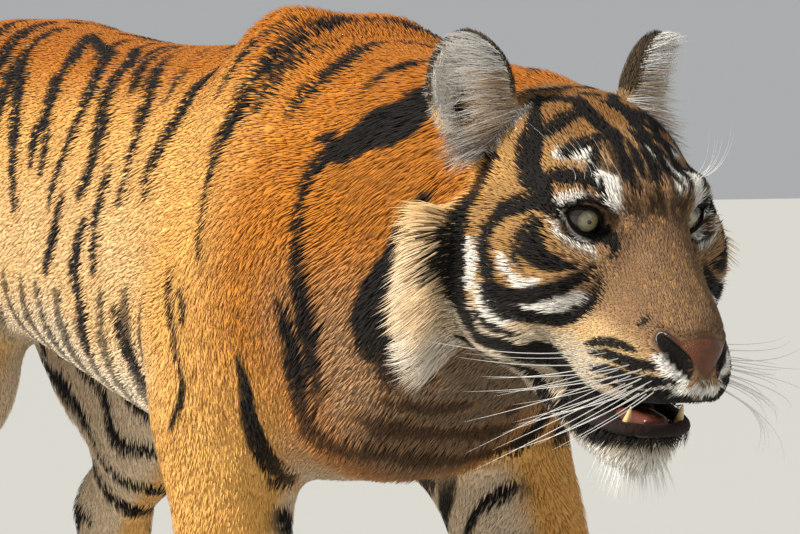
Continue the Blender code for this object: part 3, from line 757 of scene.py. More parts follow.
faceWhite = {
    "brow patch": [(4.5, -43, 57, 42), (5.5, -34, 49, 45), (4, -25, 41, 47)],
    "upper lid": [(2.4, -12, 80, 13), (3.4, -4, 73, 17), (3.4, 4, 66, 21), (2.6, 12, 58, 22)],
    "eyebrow": [(5, -12, 44, 43), (7.5, 2, 46, 41), (8, 10, 41, 40), (7, 20, 42, 31), (4, 25, 38, 22)],
    "left eyebrow": [(3, -16, 8, 55), (4, -2, 22, 47), (4.5, 12, 24, 42), (4, 23, 21, 37)],
    "under eye": [(1.6, -1, 79, 5), (2, 5, 74, -2), (2, 13, 68, -7), (2.2, 19, 56, -11), (2, 26, 50, -13)],
    "cheek stripe": [(4, -58, 112, -38), (8.5, -53, 114, -50), (9, -47, 114, -60), (6, -42, 113, -70)],
    "cheek patch": [(4, -2, 99, -69), (5, 8, 91, -67), (6.5, 18, 79, -66), (6, 26, 69, -62),
                    (4.5, 33, 58, -52)],
    "cheek streak": [(2.4, -16, 101, -36), (3, -6, 96, -46), (3, 6, 88, -50), (2, 16, 80, -44)],
    "outer cheek patch": [(6, -24, 108, -74), (7, -16, 104, -82), (6, -4, 97, -86)],
    "lip": [(5, 130, 5, -80), (5, 128, 14, -83), (4, 120, 30, -88), (2.5, 104, 43, -97), (2, 84, 46, -105)],
    "nose side": [(3.5, 116, 33, -63), (4.5, 124, 26, -71), (4, 129, 16, -77)],
    "ear ridge": [(3.5, -112, 46, 56), (5, -108, 60, 44), (6, -112, 77, 20), (6, -134, 84, -10)],
}
bodyBlack = {      # half width and point, in mm in the walking plan's numbers
    "withers line": [(4, 375, 60, 690), (6, 365, 90, 676), (7, 363, 110, 657), (4, 363, 124, 636)],
    "blade line": [(5, 380, 10, 692), (8, 398, 62, 680), (9, 405, 88, 665), (7, 410, 112, 642),
                   (8, 415, 126, 622), (9, 410, 136, 602), (7, 400, 148, 575), (4, 390, 152, 545),
                   (4, 390, 158, 510), (3, 402, 162, 485)],
    "blade fork": [(3, 427, 43, 673), (6, 428, 70, 664), (7, 428, 95, 650), (5, 434, 108, 634),
                   (3, 438, 120, 615)],
    "neck root line": [(4, 442, 8, 674), (6, 452, 25, 672), (9, 474, 62, 654), (7, 470, 84, 638),
                       (5, 470, 106, 615)],
    "neck bar": [(14, 660, 78, 640), (16, 625, 84, 622), (15, 590, 80, 608), (12, 568, 92, 595),
                 (8, 540, 100, 587), (6, 525, 110, 570), (6, 528, 118, 550), (6, 533, 124, 525),
                 (7, 538, 127, 498), (10, 538, 125, 470), (9, 535, 119, 438), (7, 527, 110, 408),
                 (5, 518, 100, 380)],
    "throat low bar": [(5, 541, 72, 360), (8, 549, 57, 353), (9, 560, 44, 353), (9, 566, 28, 351),
                       (8, 571, 0, 351)],
    "throat middle bar": [(4, 577, 62, 378), (7, 591, 48, 375), (8, 611, 36, 376), (6, 637, 22, 381)],
    "breast bar": [(5, 527, 60, 332), (8, 529, 38, 328), (9, 534, 13, 325), (8, 534, 0, 324)],
    "neck spur": [(4, 515, 100, 594), (5, 540, 93, 600)],
    "neck patch": [(7, 690, 92, 560), (10, 664, 93, 530), (9, 640, 94, 505), (13, 622, 95, 482),
                   (20, 606, 94, 450), (16, 606, 86, 418), (9, 598, 74, 395)],
    "throat bar": [(8, 680, 72, 470), (10, 655, 70, 440), (6, 640, 50, 415)],
    "nape": [(6, 676, 20, 652), (9, 644, 50, 646), (7, 618, 66, 636)],
    "second nape": [(4, 580, 16, 660), (7, 560, 44, 655), (5, 545, 66, 640)],
    "chest line": [(4, 515, 142, 462), (8, 514, 131, 430), (10, 508, 123, 405), (9, 498, 110, 375),
                   (11, 491, 90, 344), (8, 508, 70, 330), (5, 525, 45, 325)],
    "arm line": [(4, 452, 154, 415), (6, 448, 146, 390), (7, 438, 137, 367), (9, 425, 120, 340),
                 (8, 405, 92, 312), (6, 390, 64, 298)],
    "elbow line": [(2, 335, 163, 485), (4, 352, 169, 440), (4, 365, 166, 385), (3, 345, 168, 352)],
    "elbow spur": [(3, 361, 166, 468), (5, 372, 167, 446)],
    "rib line 1": [(3, 112, 18, 676), (4, 165, 62, 664), (7, 196, 90, 648), (5, 213, 106, 632)],
    "rib line 2": [(3, 262, 30, 684), (5, 280, 62, 676), (6, 285, 88, 664), (9, 256, 102, 638),
                   (9, 262, 114, 622), (8, 254, 128, 595), (6, 240, 138, 568), (4, 236, 146, 540)],
    "rib line 3": [(3, 6, 12, 674), (4, 45, 46, 667), (8, 82, 78, 654), (6, 122, 99, 638)],
    "rib line 4": [(3, 46, 16, 674), (5, 92, 56, 665), (9, 148, 94, 643), (9, 178, 117, 618),
                   (8, 188, 132, 594), (6, 192, 141, 568), (4, 190, 147, 538)],
    "rib line 5": [(3, -78, 4, 677), (4, -42, 30, 672), (8, 34, 80, 653), (9, 62, 102, 636),
                   (9, 90, 121, 613), (9, 108, 136, 587), (8, 108, 144, 562), (6, 96, 147, 540)],
    "rib line 6": [(5, 150, 143, 562), (7, 142, 150, 528), (6, 136, 151, 475)],
    "rib line 7": [(4, -175, 20, 680), (7, -58, 54, 666), (8, -24, 82, 652), (9, 12, 105, 632),
                   (9, 34, 124, 608), (8, 34, 137, 580), (6, 12, 146, 530)],
    "rib line 8": [(5, 48, 146, 532), (8, 18, 148, 490), (6, -6, 145, 468)],
    "rib line 9": [(5, 112, 150, 514), (9, 82, 150, 474), (10, 86, 146, 436), (7, 56, 130, 394)],
    "rib line 10": [(6, 178, 147, 432), (9, 184, 138, 400), (6, 190, 110, 362)],
    "spine line 1": [(3, 196, 8, 678), (5, 226, 40, 676), (5, 246, 70, 667)],
    "spine line 2": [(3, -22, 6, 675), (5, 14, 40, 671), (4, 44, 70, 660)],
    "spine line 3": [(3, -128, 4, 678), (5, -92, 38, 673), (4, -70, 66, 662)],
    "spine line 4": [(3, 150, 6, 677), (5, 184, 40, 673), (4, 206, 66, 664)],
    "loin line 1": [(5, -190, 14, 682), (8, -125, 60, 666), (8, -106, 86, 650), (9, -82, 106, 630),
                    (8, -66, 121, 608), (9, -74, 128, 592), (5, -58, 137, 562)],
    "loin line 2": [(5, -60, 121, 608), (7, -32, 135, 577), (5, -28, 141, 556)],
    "loin line 3": [(5, -245, 58, 676), (8, -160, 108, 626), (9, -140, 122, 603), (8, -112, 135, 564),
                    (6, -95, 142, 520)],
}


flankLines = dict(rows=9, first=-200, apart=47, wide=(5.5, 8.5), start=(0.02, 0.15), end=(1.55, 2.1), twin=19)
bellyBars = dict(rows=11, first=270, apart=62, wideAt=((4, 1.90), (9, 2.15), (10, 2.45), (7, 2.8)))


def furtherBack():
    # the lines further back carry on in the same way: from the spine forward, down the side and back
    strokes = []
    for row in range(flankLines["rows"]):
        x = flankLines["first"] - flankLines["apart"] * row
        wide = dice.uniform(*flankLines["wide"])
        start, end = dice.uniform(*flankLines["start"]), dice.uniform(*flankLines["end"])
        for twin in range(1 + row % 2):
            line = []
            for t in (0, 0.2, 0.4, 0.6, 0.8, 1):
                a = start + (end - start) * t + 0.15 * twin
                bow = -95 * max(0, 0.9 - a) ** 1.4 - 26 * max(0, a - 1.3) + dice.uniform(-4, 4)
                bow += flankLines["twin"] * twin * math.sin(math.pi * t)
                swell = 0.45 + 1.1 * math.sin(math.pi * min(1, t * 0.9 + 0.1))
                line.append((wide * swell * (1 - 0.35 * twin), x + bow,
                             140 * math.sin(a), 515 + 150 * math.cos(a)))
            strokes.append(line)
    return strokes


def belowTheRibs():
    # greyer bars across the belly
    strokes = []
    for row in range(bellyBars["rows"]):
        x = bellyBars["first"] - bellyBars["apart"] * row
        strokes.append([(wide * dice.uniform(0.8, 1.2), x - 20 * k + dice.uniform(-5, 5),
                         140 * math.sin(a), 505 + 160 * math.cos(a))
                        for k, (wide, a) in enumerate(bellyBars["wideAt"])])
    return strokes


bolder = dict(head=1.25, body=1.30)      # stroke widths are multiplied by these


def onSkin(strokes, origin, axes, side):
    # each stroke becomes a fine path lying on the skin, on the side asked for
    fine = [smoothPath(np.array(stroke, float) * mm, 4) for stroke in strokes]
    ends = np.cumsum([0] + [len(path) for path in fine])
    every = np.concatenate(fine)
    p = (every[:, 1:] * (1, side, 1)) @ axes.T + origin
    p = tiger.settle(p, 10, 6 * mm)
    back = (p - origin) @ axes
    wide = every[:, 0] * (bolder["head"] if origin is headAt else bolder["body"])
    placed = np.column_stack([np.maximum(wide, 0.5 * mm), back])
    return [placed[a:b] for a, b in zip(ends[:-1], ends[1:])]


def inkOf(p, strokes, soft):
    # how dark the strokes leave each point, from 0 to 1
    ink = np.zeros(len(p))
    for s in strokes:
        wide = s[:, 0].max() + soft
        low, high = s[:, 1:].min(0) - wide * 1.5, s[:, 1:].max(0) + wide * 1.5
        near = np.flatnonzero(((p > low) & (p < high)).all(1))
        for a, b in zip(s[:-1], s[1:]):
            ahead = b[1:] - a[1:]
            t = np.clip(((p[near] - a[1:]) @ ahead) / max(ahead @ ahead, 1e-12), 0, 1)
            far = np.linalg.norm(p[near] - a[1:] - t[:, None] * ahead, axis=1)
            ink[near] = np.maximum(ink[near], ramp(a[0] + (b[0] - a[0]) * t - far, -soft, soft))
    return ink


bodyLines, bellyLines = list(bodyBlack.values()) + furtherBack(), belowTheRibs()
marks = {}
for otherHand, markSide in (("left", -1), ("right", 1)):
    for kind, strokes in (("face", faceBlack), ("pale", faceWhite)):
        shown = [stroke for name, stroke in strokes.items() if not name.startswith(otherHand)]
        marks[kind, markSide] = onSkin(shown, headAt, headAxes, markSide)
    for kind, strokes in (("body", bodyLines), ("belly", bellyLines)):
        marks[kind, markSide] = onSkin(strokes, stand, np.eye(3), markSide)


def inkBothSides(p, kind, soft):
    return np.maximum(inkOf(p, marks[kind, -1], soft), inkOf(p, marks[kind, 1], soft))


def warped(p, size, reach, seed):
    shift = np.stack([noise(p, size, seed + k) for k in range(3)], 1) - 0.5
    return p + shift * 2 * reach


def alongPath(p, path):
    # how far along a path each p lies, in metres, and which way the path runs there
    best, at, way, done = np.full(len(p), 1e9), np.zeros(len(p)), np.zeros((len(p), 3)), 0.0
    for a, b in zip(path[:-1], path[1:]):
        ahead = b[:3] - a[:3]
        length = np.linalg.norm(ahead)
        t = np.clip(((p - a[:3]) @ ahead) / length**2, 0, 1)
        far = np.linalg.norm(p - a[:3] - t[:, None] * ahead, axis=1)
        closer = far < best
        best[closer], at[closer], way[closer] = far[closer], done + t[closer] * length, ahead / length
        done += length
    return at, way


def joints(leg, *names):
    return np.array([leg[name] for name in names])


def bands(along, spacing, share, wobble):
    # repeated bars across a leg or the tail
    phase = along / (spacing * mm) + wobble
    return ramp(share / 2 - np.abs(phase - np.floor(phase) - 0.5), -0.035, 0.035)


def washed(colour, zones, textures, places):
    # lays the zones' colours over it in turn; their edges, along each of the places, are where a zone's
    # share is 0 and where it is whole
    for name, amount, texture, *edges in zones:
        amount = amount * textures[texture]
        for place, ends in zip(places, edges):
            for start, full in zip(ends[::2], ends[1::2]):
                amount = amount * ramp(place, start, full)
        colour = mixed(colour, name, amount)
    return colour


paintedFaceShade = 0.74      # painted shade: the face is this much darker than the body's own tones, for the half-shade it lies in
faceZones = (      # colour, share, texture, then edges in mm: ahead, outwards, up, and up with a ragged edge
    ("umber", 1, "even", (-20, -70), (66, 40), (20, 40)),
    ("fawn", 0.85, "even", (-50, 0), (80, 56)),
    ("brown", 1, "freckles", (-10, 20), (46, 24), (-75, -50)),
    ("dark", 0.95, "streaks", (-50, -20, 50, 24), (44, 26)),
    ("honey", 0.7, "flecks", (-10, 20), (46, 24), (-75, -50)),
    ("brown", 0.5, "even", (30, 50), (18, 34), (-64, -30)),
    ("tan", 1, "even", (), (26, 42), (-52, -70)),
    ("cream", 1, "even", (75, 50), (30, 50), (), (-76, -96)),
    ("cream", 0.9, "even", (), (), (-104, -120)),
)
ruffZones = (
    ("gold", 1, "even", (-66, -90), (60, 80), (30, -10)),
    ("tan", 1, "even", (-66, -90), (60, 80), (-10, -50)),
    ("cream", 0.95, "even", (-66, -90), (60, 80), (-30, -80)),
    ("white", 0.6, "even", (-66, -90), (60, 80), (-100, -150)),
    ("white", 1, "pale strokes"),
    ("white", 1, "even", (20, 50), (), (-148, -160)),
    ("black", 1, "black strokes"),
)
lips = dict(under=((10, -142), (30, -160), (55, -158), (80, -149), (96, -143)),      # points ahead and up
            over=((20, -117), (50, -124), (100, -121)),
            upper=((80, -109.5), (100, -102), (115, -93), (128, -87)))


def faceColour(q):
    # q in the head's frame; both sides share most strokes, each bent a little its own way
    bent = warped(warped(q, 24 * mm, 2.0 * mm, 3), 6 * mm, 1.0 * mm, 9)
    fine, patchy = noise(q, 1.7 * mm, 5), noise(q, 9 * mm, 6)
    streaks = noise(q * (0.30, 1, 0.45), 5.2 * mm, 7)
    textures = {"even": np.ones(len(q)), "freckles": 0.35 + 0.55 * ramp(fine, 0.35, 0.65),
                "streaks": ramp(streaks * 0.8 + patchy * 0.2, 0.42, 0.50),
                "flecks": ramp(noise(q, 3 * mm, 14), 0.62, 0.80),
                "pale strokes": inkBothSides(bent, "pale", 1.6 * mm),
                "black strokes": inkBothSides(bent, "face", 1.2 * mm)}
    ahead, up = q[:, 0] / mm, q[:, 2] / mm
    places = (ahead, np.abs(bent[:, 1]) / mm, up, up + 12 * (patchy - 0.5))
    # painted shade: the face's own zones are darkened before the ruff and the strokes go on
    colour = washed("honey", faceZones, textures, places) * paintedFaceShade
    colour = washed(colour, ruffZones, textures, places)
    # black lips: the lower one broad at the corner of the mouth, thin in front
    under, over, upper = (np.interp(ahead, *np.array(lips[k], float).T) for k in ("under", "over", "upper"))
    under = under + 5 * (noise(q, 7 * mm, 8) - 0.5)
    corner = ramp(up, under - 2, under + 2) * ramp(ahead, 10, 26) * ramp(up, over + 1, over - 3)
    edge = ramp(up, upper + 1.5, upper - 1.5) * ramp(ahead, 70, 85) * ramp(up, -128, -124)
    return mixed(colour, "lip", np.maximum(corner, edge))


bodyZones = (      # colour, share, texture, then edges: along and up in mm, and the angle down from the spine
    ("deep", 1, "spine"),
    ("gold", 0.9, "even", (500, 360), (), (0.45, 0.95)),
    ("tan", 0.9, "even", (340, 160), (), (0.75, 1.7)),
    ("gold", 0.8, "legs", (), (450, 300)),
    ("cream", 1, "under"),
    # fawn on the lower neck: the fur's beige, dimmed partly as painted shade
    ("fawn", 0.9, "front", (), (530, 430)),
    # painted shade on the throat and breast, where the head's shadow falls
    ("shade", 1, "throat", (), (500, 400)),
    ("cream", 0.8, "tail below"),
    ("orange", 0.5, "beside stripes", (), (), (0.4, 0.8)),
)
bars = dict(hind=dict(spacing=52, dark=0.32, start=(0.05, 0.10), end=(0.60, 0.54)),
            fore=dict(spacing=58, dark=0.34, start=(0.10, 0.16)), tail=dict(spacing=62, dark=0.36, tip=0.065))
flankMiddle = 0.50      # height that angles round the trunk are measured from


def bodyColour(plan, normal, shares):
    bent = warped(warped(plan, 90 * mm, 7 * mm, 21), 14 * mm, 1.6 * mm, 31)
    x, y, z = plan.T
    angle = np.arctan2(np.abs(y), z - flankMiddle)
    patchy = noise(plan, 110 * mm, 4)
    trunk = shareOf(shares, "back", "neck", "breast")
    legs = shareOf(shares, "foreleg", "thigh", "shank", "paw")
    tail = shareOf(shares, "tail")
    inwards = -normal[:, 1] * np.sign(y)
    under = trunk * ramp(angle + 0.35 * (patchy - 0.5), 1.88, 2.5) * ramp(x, 0.50, 0.36)
    # the lower neck is fawn, partly painted shade; the breast and throat get painted shade between their dark
    # bars, where the head's shadow falls
    front = ramp(x, 0.46, 0.54) * (1 - legs * ramp(z, 0.36, 0.30))
    middle = np.maximum(ramp(np.abs(y), 0.090, 0.050), ramp(x, 0.560, 0.620))
    spine = ramp(angle, 0.75, 0.1) * 0.6 + 0.25 * patchy * ramp(angle, 2.0, 1.2)
    textures = {"even": np.ones(len(plan)), "spine": spine, "legs": legs,
                "under": np.maximum(under, legs * ramp(inwards, 0.15, 0.65) * 0.9),
                "front": front, "throat": front * middle,
                "tail below": tail * ramp(normal[:, 0] - normal[:, 2], 0.2, 1.0),
                "beside stripes": inkBothSides(bent, "body", 15 * mm) * trunk}
    colour = washed("orange", bodyZones, textures, (x / mm, z / mm, angle))
    ink = inkBothSides(bent, "body", 2.4 * mm)
    ink = np.maximum(ink, inkBothSides(bent, "belly", 4 * mm) * 0.8 * trunk)
    wobble = noise(plan, 60 * mm, 12) * 1.1
    for side in (-1, 1):
        on = np.flatnonzero((np.sign(y) == side) & (legs > 0.02))
        at, _ = alongPath(plan[on], joints(hindLegs[side], "hip", "knee", "hock", "paw"))
        bar = bars["hind"]
        share = bar["dark"] + 0.18 * (noise(plan[on], 40 * mm, 15) - 0.5)
        dark = bands(at, bar["spacing"], share, wobble[on])
        dark = dark * ramp(shareOf(shares, "thigh", "shank")[on], 0.3, 0.8) * ramp(at, *bar["start"])
        ink[on] = np.maximum(ink[on], dark * ramp(at, *bar["end"]))
        at, _ = alongPath(plan[on], joints(foreLegs[side], "shoulder", "elbow", "wrist", "paw"))
        bar = bars["fore"]
        dark = bands(at, bar["spacing"], bar["dark"], wobble[on]) * shareOf(shares, "foreleg")[on]
        ink[on] = np.maximum(ink[on], dark * ramp(inwards[on], 0.05, 0.5) * ramp(at, *bar["start"]))
    at, _ = alongPath(plan, tailPath)
    rings = bands(at, bars["tail"]["spacing"], bars["tail"]["dark"], noise(plan, 50 * mm, 18) * 0.5)
    tip = at.max() - bars["tail"]["tip"]
    rings = np.maximum(rings, ramp(at, tip - 0.010, tip + 0.010))
    ink = np.maximum(ink * (1 - tail), rings * tail)
    return mixed(colour, "black", ink * (1 - 0.20 * ramp(angle, 2.2, 2.7) * trunk))


# ovals across the ear: the height of the middle, half width and half height in mm; the hollow's oval is
# painted shade
earMarks = dict(edge=(34, 34, 46), spot=(40, 16, 15), shadedHollow=(17, 18, 17))


def offOval(q, oval):
    # 1 on the oval's edge, less within it
    middle, wide, high = np.array(oval) * mm
    return np.hypot(q[:, 1] / wide, (q[:, 2] - middle) / high)


def earColour(p, normal, side):
    # a dark rim and a black back with a white spot; pale inside, with painted shade in the hollow low in the
    # cup
    q = (p - earRoot(side)) @ earAxes(side)
    inside = ramp((normal @ earAxes(side))[:, 0], 0, 0.35) * ramp(offOval(q, earMarks["edge"]), 0.93, 0.81)
    colour = mixed("tan", "black", ramp(q[:, 2], 0.012, 0.030) * 0.93)
    spot = ramp(offOval(q, earMarks["spot"]), 1.1, 0.9) * ramp(q[:, 0], -0.004, -0.010)
    colour = mixed(mixed(colour, "white", spot), "white", inside)
    warm = inside * ramp(side * q[:, 1], -0.008, -0.024) * ramp(q[:, 2], 0.062, 0.040)
    colour = mixed(colour, "fawn", warm * 0.8)
    # painted shade: the hollow low in the cup is painted black
    return mixed(colour, "black", ramp(offOval(q, earMarks["shadedHollow"]), 1.1, 0.8) * inside)


# the nostril tint is the dark inside the nostrils together with painted shade in the holes and under their
# wings
noseTint = dict(leather=(0.120, 0.042, 0.017), edge=(0.045, 0.018, 0.012), nostril=(0.006, 0.004, 0.003))
noseField = Sculpture().add([
    lump((115, 0, -52), (15, 19.5, 9.0), (0, 0, 0), 0.008, "muzzle"),
    lump((107, 23, -55), (13, 8.5, 11), (-20, 12, 0), 0.008, "muzzle", pair=True),
    lump((120, 0, -57), (13.5, 14, 13), (0, 0, 0), 0.008, "muzzle"),
    lump((125, 0, -68), (9.5, 7.5, 12), (0, 0, 0), 0.006, "muzzle"),
    limb(inMm(nostril["path"]), 1.0, nostril["soft"], pair=True, cut=True, steps=4),
    limb(inMm([(136.5, 0, -62, 1.2), (135.5, 0, -72, 1.6), (129, 0, -88, 1.6)]), blend=0.002, cut=True,
         steps=3)], headAt, headAxes)


lids = dict(radius=20.4 * mm, facing=(0.97, -0.24, 0.0), along=(0.23, 0.91, -0.34),
            rim=4.4 * mm, lowerRim=2.6 * mm, whiteTo=5.0 * mm, darkTo=8.5 * mm,
            opening=[(-16.0, 2.0, 0.0, 13, 15), (-11.0, 7.4, -4.2, 13, 15), (-5, 10.4, -6.8, 13, 15),
                     (3, 10.8, -7.6, 13, 15), (9.5, 7.6, -6.6, 13, 15), (17.0, -0.4, -3.4, 13, 15)])


def mirroredAxes(facing, along, side):
    # columns: along the opening, out of the head, up
    a = unit(np.array(along, float) * (1, -side, 1))
    c = np.array(facing, float) * (1, -side, 1)
    c = unit(c - a * (a @ c))
    return headAxes @ np.stack([a, c, np.cross(c, a) * -side], 1)


def eyeMarks(p, colour):
    # a black rim round each eye with a white line under it, then dark again
    soft = 0.7 * mm
    for word, side in sides:
        centre = middleOf("eye_" + word)
        on = np.flatnonzero(np.linalg.norm(p - centre, axis=1) < 36 * mm)
        if not len(on):
            continue
        local = (p[on] - centre) @ mirroredAxes(lids["facing"], lids["along"], side)
        gap = loftDistance(local, loft(inMm(lids["opening"]), square=7), 0.0)

        def reaching(edge):
            return ramp(gap, edge + soft, edge - soft)

        across = local[:, 0] / mm
        below, inner = ramp(local[:, 2] / mm, 2, -1), ramp(across, 7, 12)
        dark = ramp(gap, lids["darkTo"] + 2 * soft, lids["darkTo"] - soft) * below * ramp(across, -20, -15)
        white = reaching(lids["whiteTo"]) * below * (1 - inner) * ramp(across, -22, -18)
        rim = reaching(lids["rim"] + (lids["lowerRim"] - lids["rim"]) * below)
        painted = mixed(mixed(colour[on], "black", dark * 0.85), "white", white)
        colour[on] = mixed(painted, "black", np.maximum(rim, ramp(gap, 7 * mm, 5 * mm) * inner))
    return colour


def tigerColour(p, normal, shares):
    q = inHead(p)
    colour = bodyColour(p - stand, normal, shares)
    colour += (faceColour(q) - colour) * ramp(shareOf(shares, *headParts), 0.25, 0.75)[:, None]
    ears = shareOf(shares, "ear")
    for side in (-1, 1):
        on = np.flatnonzero((ears > 0.05) & (np.sign(q[:, 1]) == side))
        earTone = earColour(p[on], normal[on], side)
        colour[on] += (earTone - colour[on]) * ramp(ears[on], 0.35, 0.75)[:, None]
    colour = eyeMarks(p, colour)
    near = np.flatnonzero((q[:, 0] > 0.085) & (q[:, 2] > -0.100))
    leather = ramp(noseField.field(p[near]), 3.0 * mm, 1.2 * mm)
    nose = mixed(colour[near], "dark", leather * 0.85)
    # the nostrils' black on the skin, partly painted shade in the holes and their wings
    colour[near] = mixed(nose, noseTint["nostril"], ramp(nostrilDistance(q[near]), 1.8 * mm, 0.8 * mm))
    gape = mouthDistance(q)
    front = ramp(q[:, 0], 0.030, 0.045)
    colour = mixed(colour, "lip", ramp(gape, 3.6 * mm, 2.2 * mm) * front)
    # inside the mouth: near black, partly the lip roll's own black and partly painted shade
    return mixed(colour, "lipAndMouthShade", ramp(gape, 0.8 * mm, -0.6 * mm) * front * ramp(q[:, 0], 0.125, 0.110))


# meshes
def meshPiece(name, points, faces, material, colour):
    # points (n, 3); faces (m, 3) or (m, 4), all of one size; a colour for each point
    mesh = bpy.data.meshes.new(name)
    mesh.vertices.add(len(points))
    mesh.vertices.foreach_set("co", np.ascontiguousarray(points, np.float32).ravel())
    mesh.loops.add(faces.size)
    mesh.loops.foreach_set("vertex_index", np.ascontiguousarray(faces, np.int32).ravel())
    mesh.polygons.add(len(faces))
    mesh.polygons.foreach_set("loop_start", np.arange(0, faces.size, faces.shape[1], dtype=np.int32))
    mesh.polygons.foreach_set("use_smooth", np.ones(len(faces), bool))
    mesh.update(calc_edges=True)
    mesh.validate()
    mesh.materials.append(material)
    layer = mesh.color_attributes.new("coat", "FLOAT_COLOR", "POINT")
    full = np.ones((len(points), 4), np.float32)
    full[:, :3] = np.clip(colour, 0, 1)
    layer.data.foreach_set("color", full.ravel())
    piece = inScene(name, mesh)
    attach(piece, "root")
    return piece


hideLook = dict(roughness=0.80, bumpScale=420.0, bumpDepth=0.0012, mottle=0.10, sheen=0.03)


def speckled(name, sockets, scale, mottle, detail=3.0):
    # the painted colour, a little lighter and darker from speck to speck
    material = newMaterial(name, sockets)
    nodes, links = material.node_tree.nodes, material.node_tree.links
    paint = nodes.new("ShaderNodeAttribute")
    paint.attribute_name = "coat"
    place = nodes.new("ShaderNodeTexCoord")
    specks = nodes.new("ShaderNodeTexNoise")
    specks.inputs["Scale"].default_value = scale
    specks.inputs["Detail"].default_value = detail
    spread = nodes.new("ShaderNodeMapRange")
    spread.inputs["To Min"].default_value = 1 - mottle
    spread.inputs["To Max"].default_value = 1 + mottle
    tint = nodes.new("ShaderNodeVectorMath")
    tint.operation = "SCALE"
    links.new(place.outputs["Object"], specks.inputs["Vector"])
    links.new(specks.outputs["Fac"], spread.inputs["Value"])
    links.new(paint.outputs["Color"], tint.inputs[0])
    links.new(spread.outputs["Result"], tint.inputs["Scale"])
    links.new(tint.outputs["Vector"], nodes["Principled BSDF"].inputs["Base Color"])
    return material


def coatMaterial(name, look):
    sockets = {"Roughness": look["roughness"], "Sheen Weight": look.get("sheen", 0.0),
               "Specular IOR Level": look.get("shine", 0.15), "Coat Weight": look.get("wet", 0.0)}
    material = speckled(name, sockets, look["bumpScale"], look["mottle"])
    nodes, links = material.node_tree.nodes, material.node_tree.links
    bump = nodes.new("ShaderNodeBump")
    bump.inputs["Distance"].default_value = look["bumpDepth"]
    links.new(nodes["Noise Texture"].outputs["Fac"], bump.inputs["Height"])
    links.new(bump.outputs["Normal"], nodes["Principled BSDF"].inputs["Normal"])
    return material


skinNormals = unit(tiger.gradient(skinPoints))
skinShares = partShares(skinPoints)
skin = meshPiece("skin", skinPoints, skinQuads, coatMaterial("hide", hideLook),
                 tigerColour(skinPoints, skinNormals, skinShares))
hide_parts("trunk", "neck", "head", "lower_jaw", "ear_right", "ear_left",
            "shoulder_right", "shoulder_left", "forearm_right", "forearm_left",
            "forepaw_right", "forepaw_left", "thigh_right", "thigh_left", "shank_right", "shank_left",
            "hindpaw_right", "hindpaw_left", "tail_base", "tail_middle", "tail_tip")
print("skin painted")


# fine pieces cut on grids of their own
def fineSurface(forms, low, high, step, origin=headAt, axes=headAxes):
    # low and high bound the piece in its own frame, in mm like the step; what lies deep is left off
    shape = forms if isinstance(forms, Sculpture) else Sculpture().add(forms, origin, axes)
    ends = boxRound(np.array(low) * mm, np.array(high) * mm, origin, axes)
    step = step * mm
    points, quads = shape.surface(*(np.arange(a, b + step, step) for a, b in zip(*ends)))
    points = shape.settle(points, 2, step)
    shown = (tiger.field(points) > -3 * mm)[quads].any(1)
    used, index = np.unique(quads[shown], return_inverse=True)
    return points[used], index.reshape(-1, 4)


noseLook = dict(roughness=0.38, bumpScale=500.0, bumpDepth=0.0005, mottle=0.12, cells=750.0, wet=0.35,
                wetRoughness=0.25, low=(92, -34, -92), high=(140, 34, -34))


def leatherMaterial(name, look):
    material = coatMaterial(name, look)
    nodes, links = material.node_tree.nodes, material.node_tree.links
    cells = nodes.new("ShaderNodeTexVoronoi")
    cells.inputs["Scale"].default_value = look["cells"]
    links.new(nodes["Texture Coordinate"].outputs["Object"], cells.inputs["Vector"])
    links.new(cells.outputs["Distance"], nodes["Bump"].inputs["Height"])
    nodes["Principled BSDF"].inputs["Coat Roughness"].default_value = look["wetRoughness"]
    return material


def addNose():
    points, quads = fineSurface(noseField, noseLook["low"], noseLook["high"], 1.0)
    q = inHead(points)
    ahead, out, up = folded(q).T / mm
    colour = tone(noseTint["leather"]) * (0.8 + 0.4 * noise(points, 5 * mm, 61))[:, None]
    edge = ramp(up, -71, -81) + ramp(out, 19, 26) * 0.85 + ramp(ahead, 108, 100) * 0.8
    colour = np.clip(mixed(colour, noseTint["edge"], np.clip(edge, 0, 1)), 0, 1)
    # the nostrils' black on the leather, partly painted shade in the holes and their wings
    colour = mixed(colour, noseTint["nostril"], ramp(nostrilDistance(q), 2.0 * mm, 0.6 * mm))
    nose = meshPiece("nose_leather", points, quads, leatherMaterial("nose leather", noseLook),
                     colour)
    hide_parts("nose")


addNose()


# eyes and lids; gaze and opening are in the head's frame
eyes = dict(radius=18.0 * mm, gaze=(0.98, -0.11, 0.13), across=(0.11, 0.99, 0), iris=9.4 * mm, pupil=1.9 * mm,
            bulge=0.9 * mm, fineTo=0.62, rings=(46, 16), around=96, irisInner=(0.30, 0.27, 0.15),
            irisOuter=(0.14, 0.125, 0.06), ring=(0.012, 0.010, 0.008), white=(0.030, 0.022, 0.017))
eyeLook = dict(sockets={"Roughness": 0.12, "IOR": 1.40, "Coat Weight": 1.0, "Coat Roughness": 0.02},
               scale=900.0, mottle=0.15, detail=2.0)


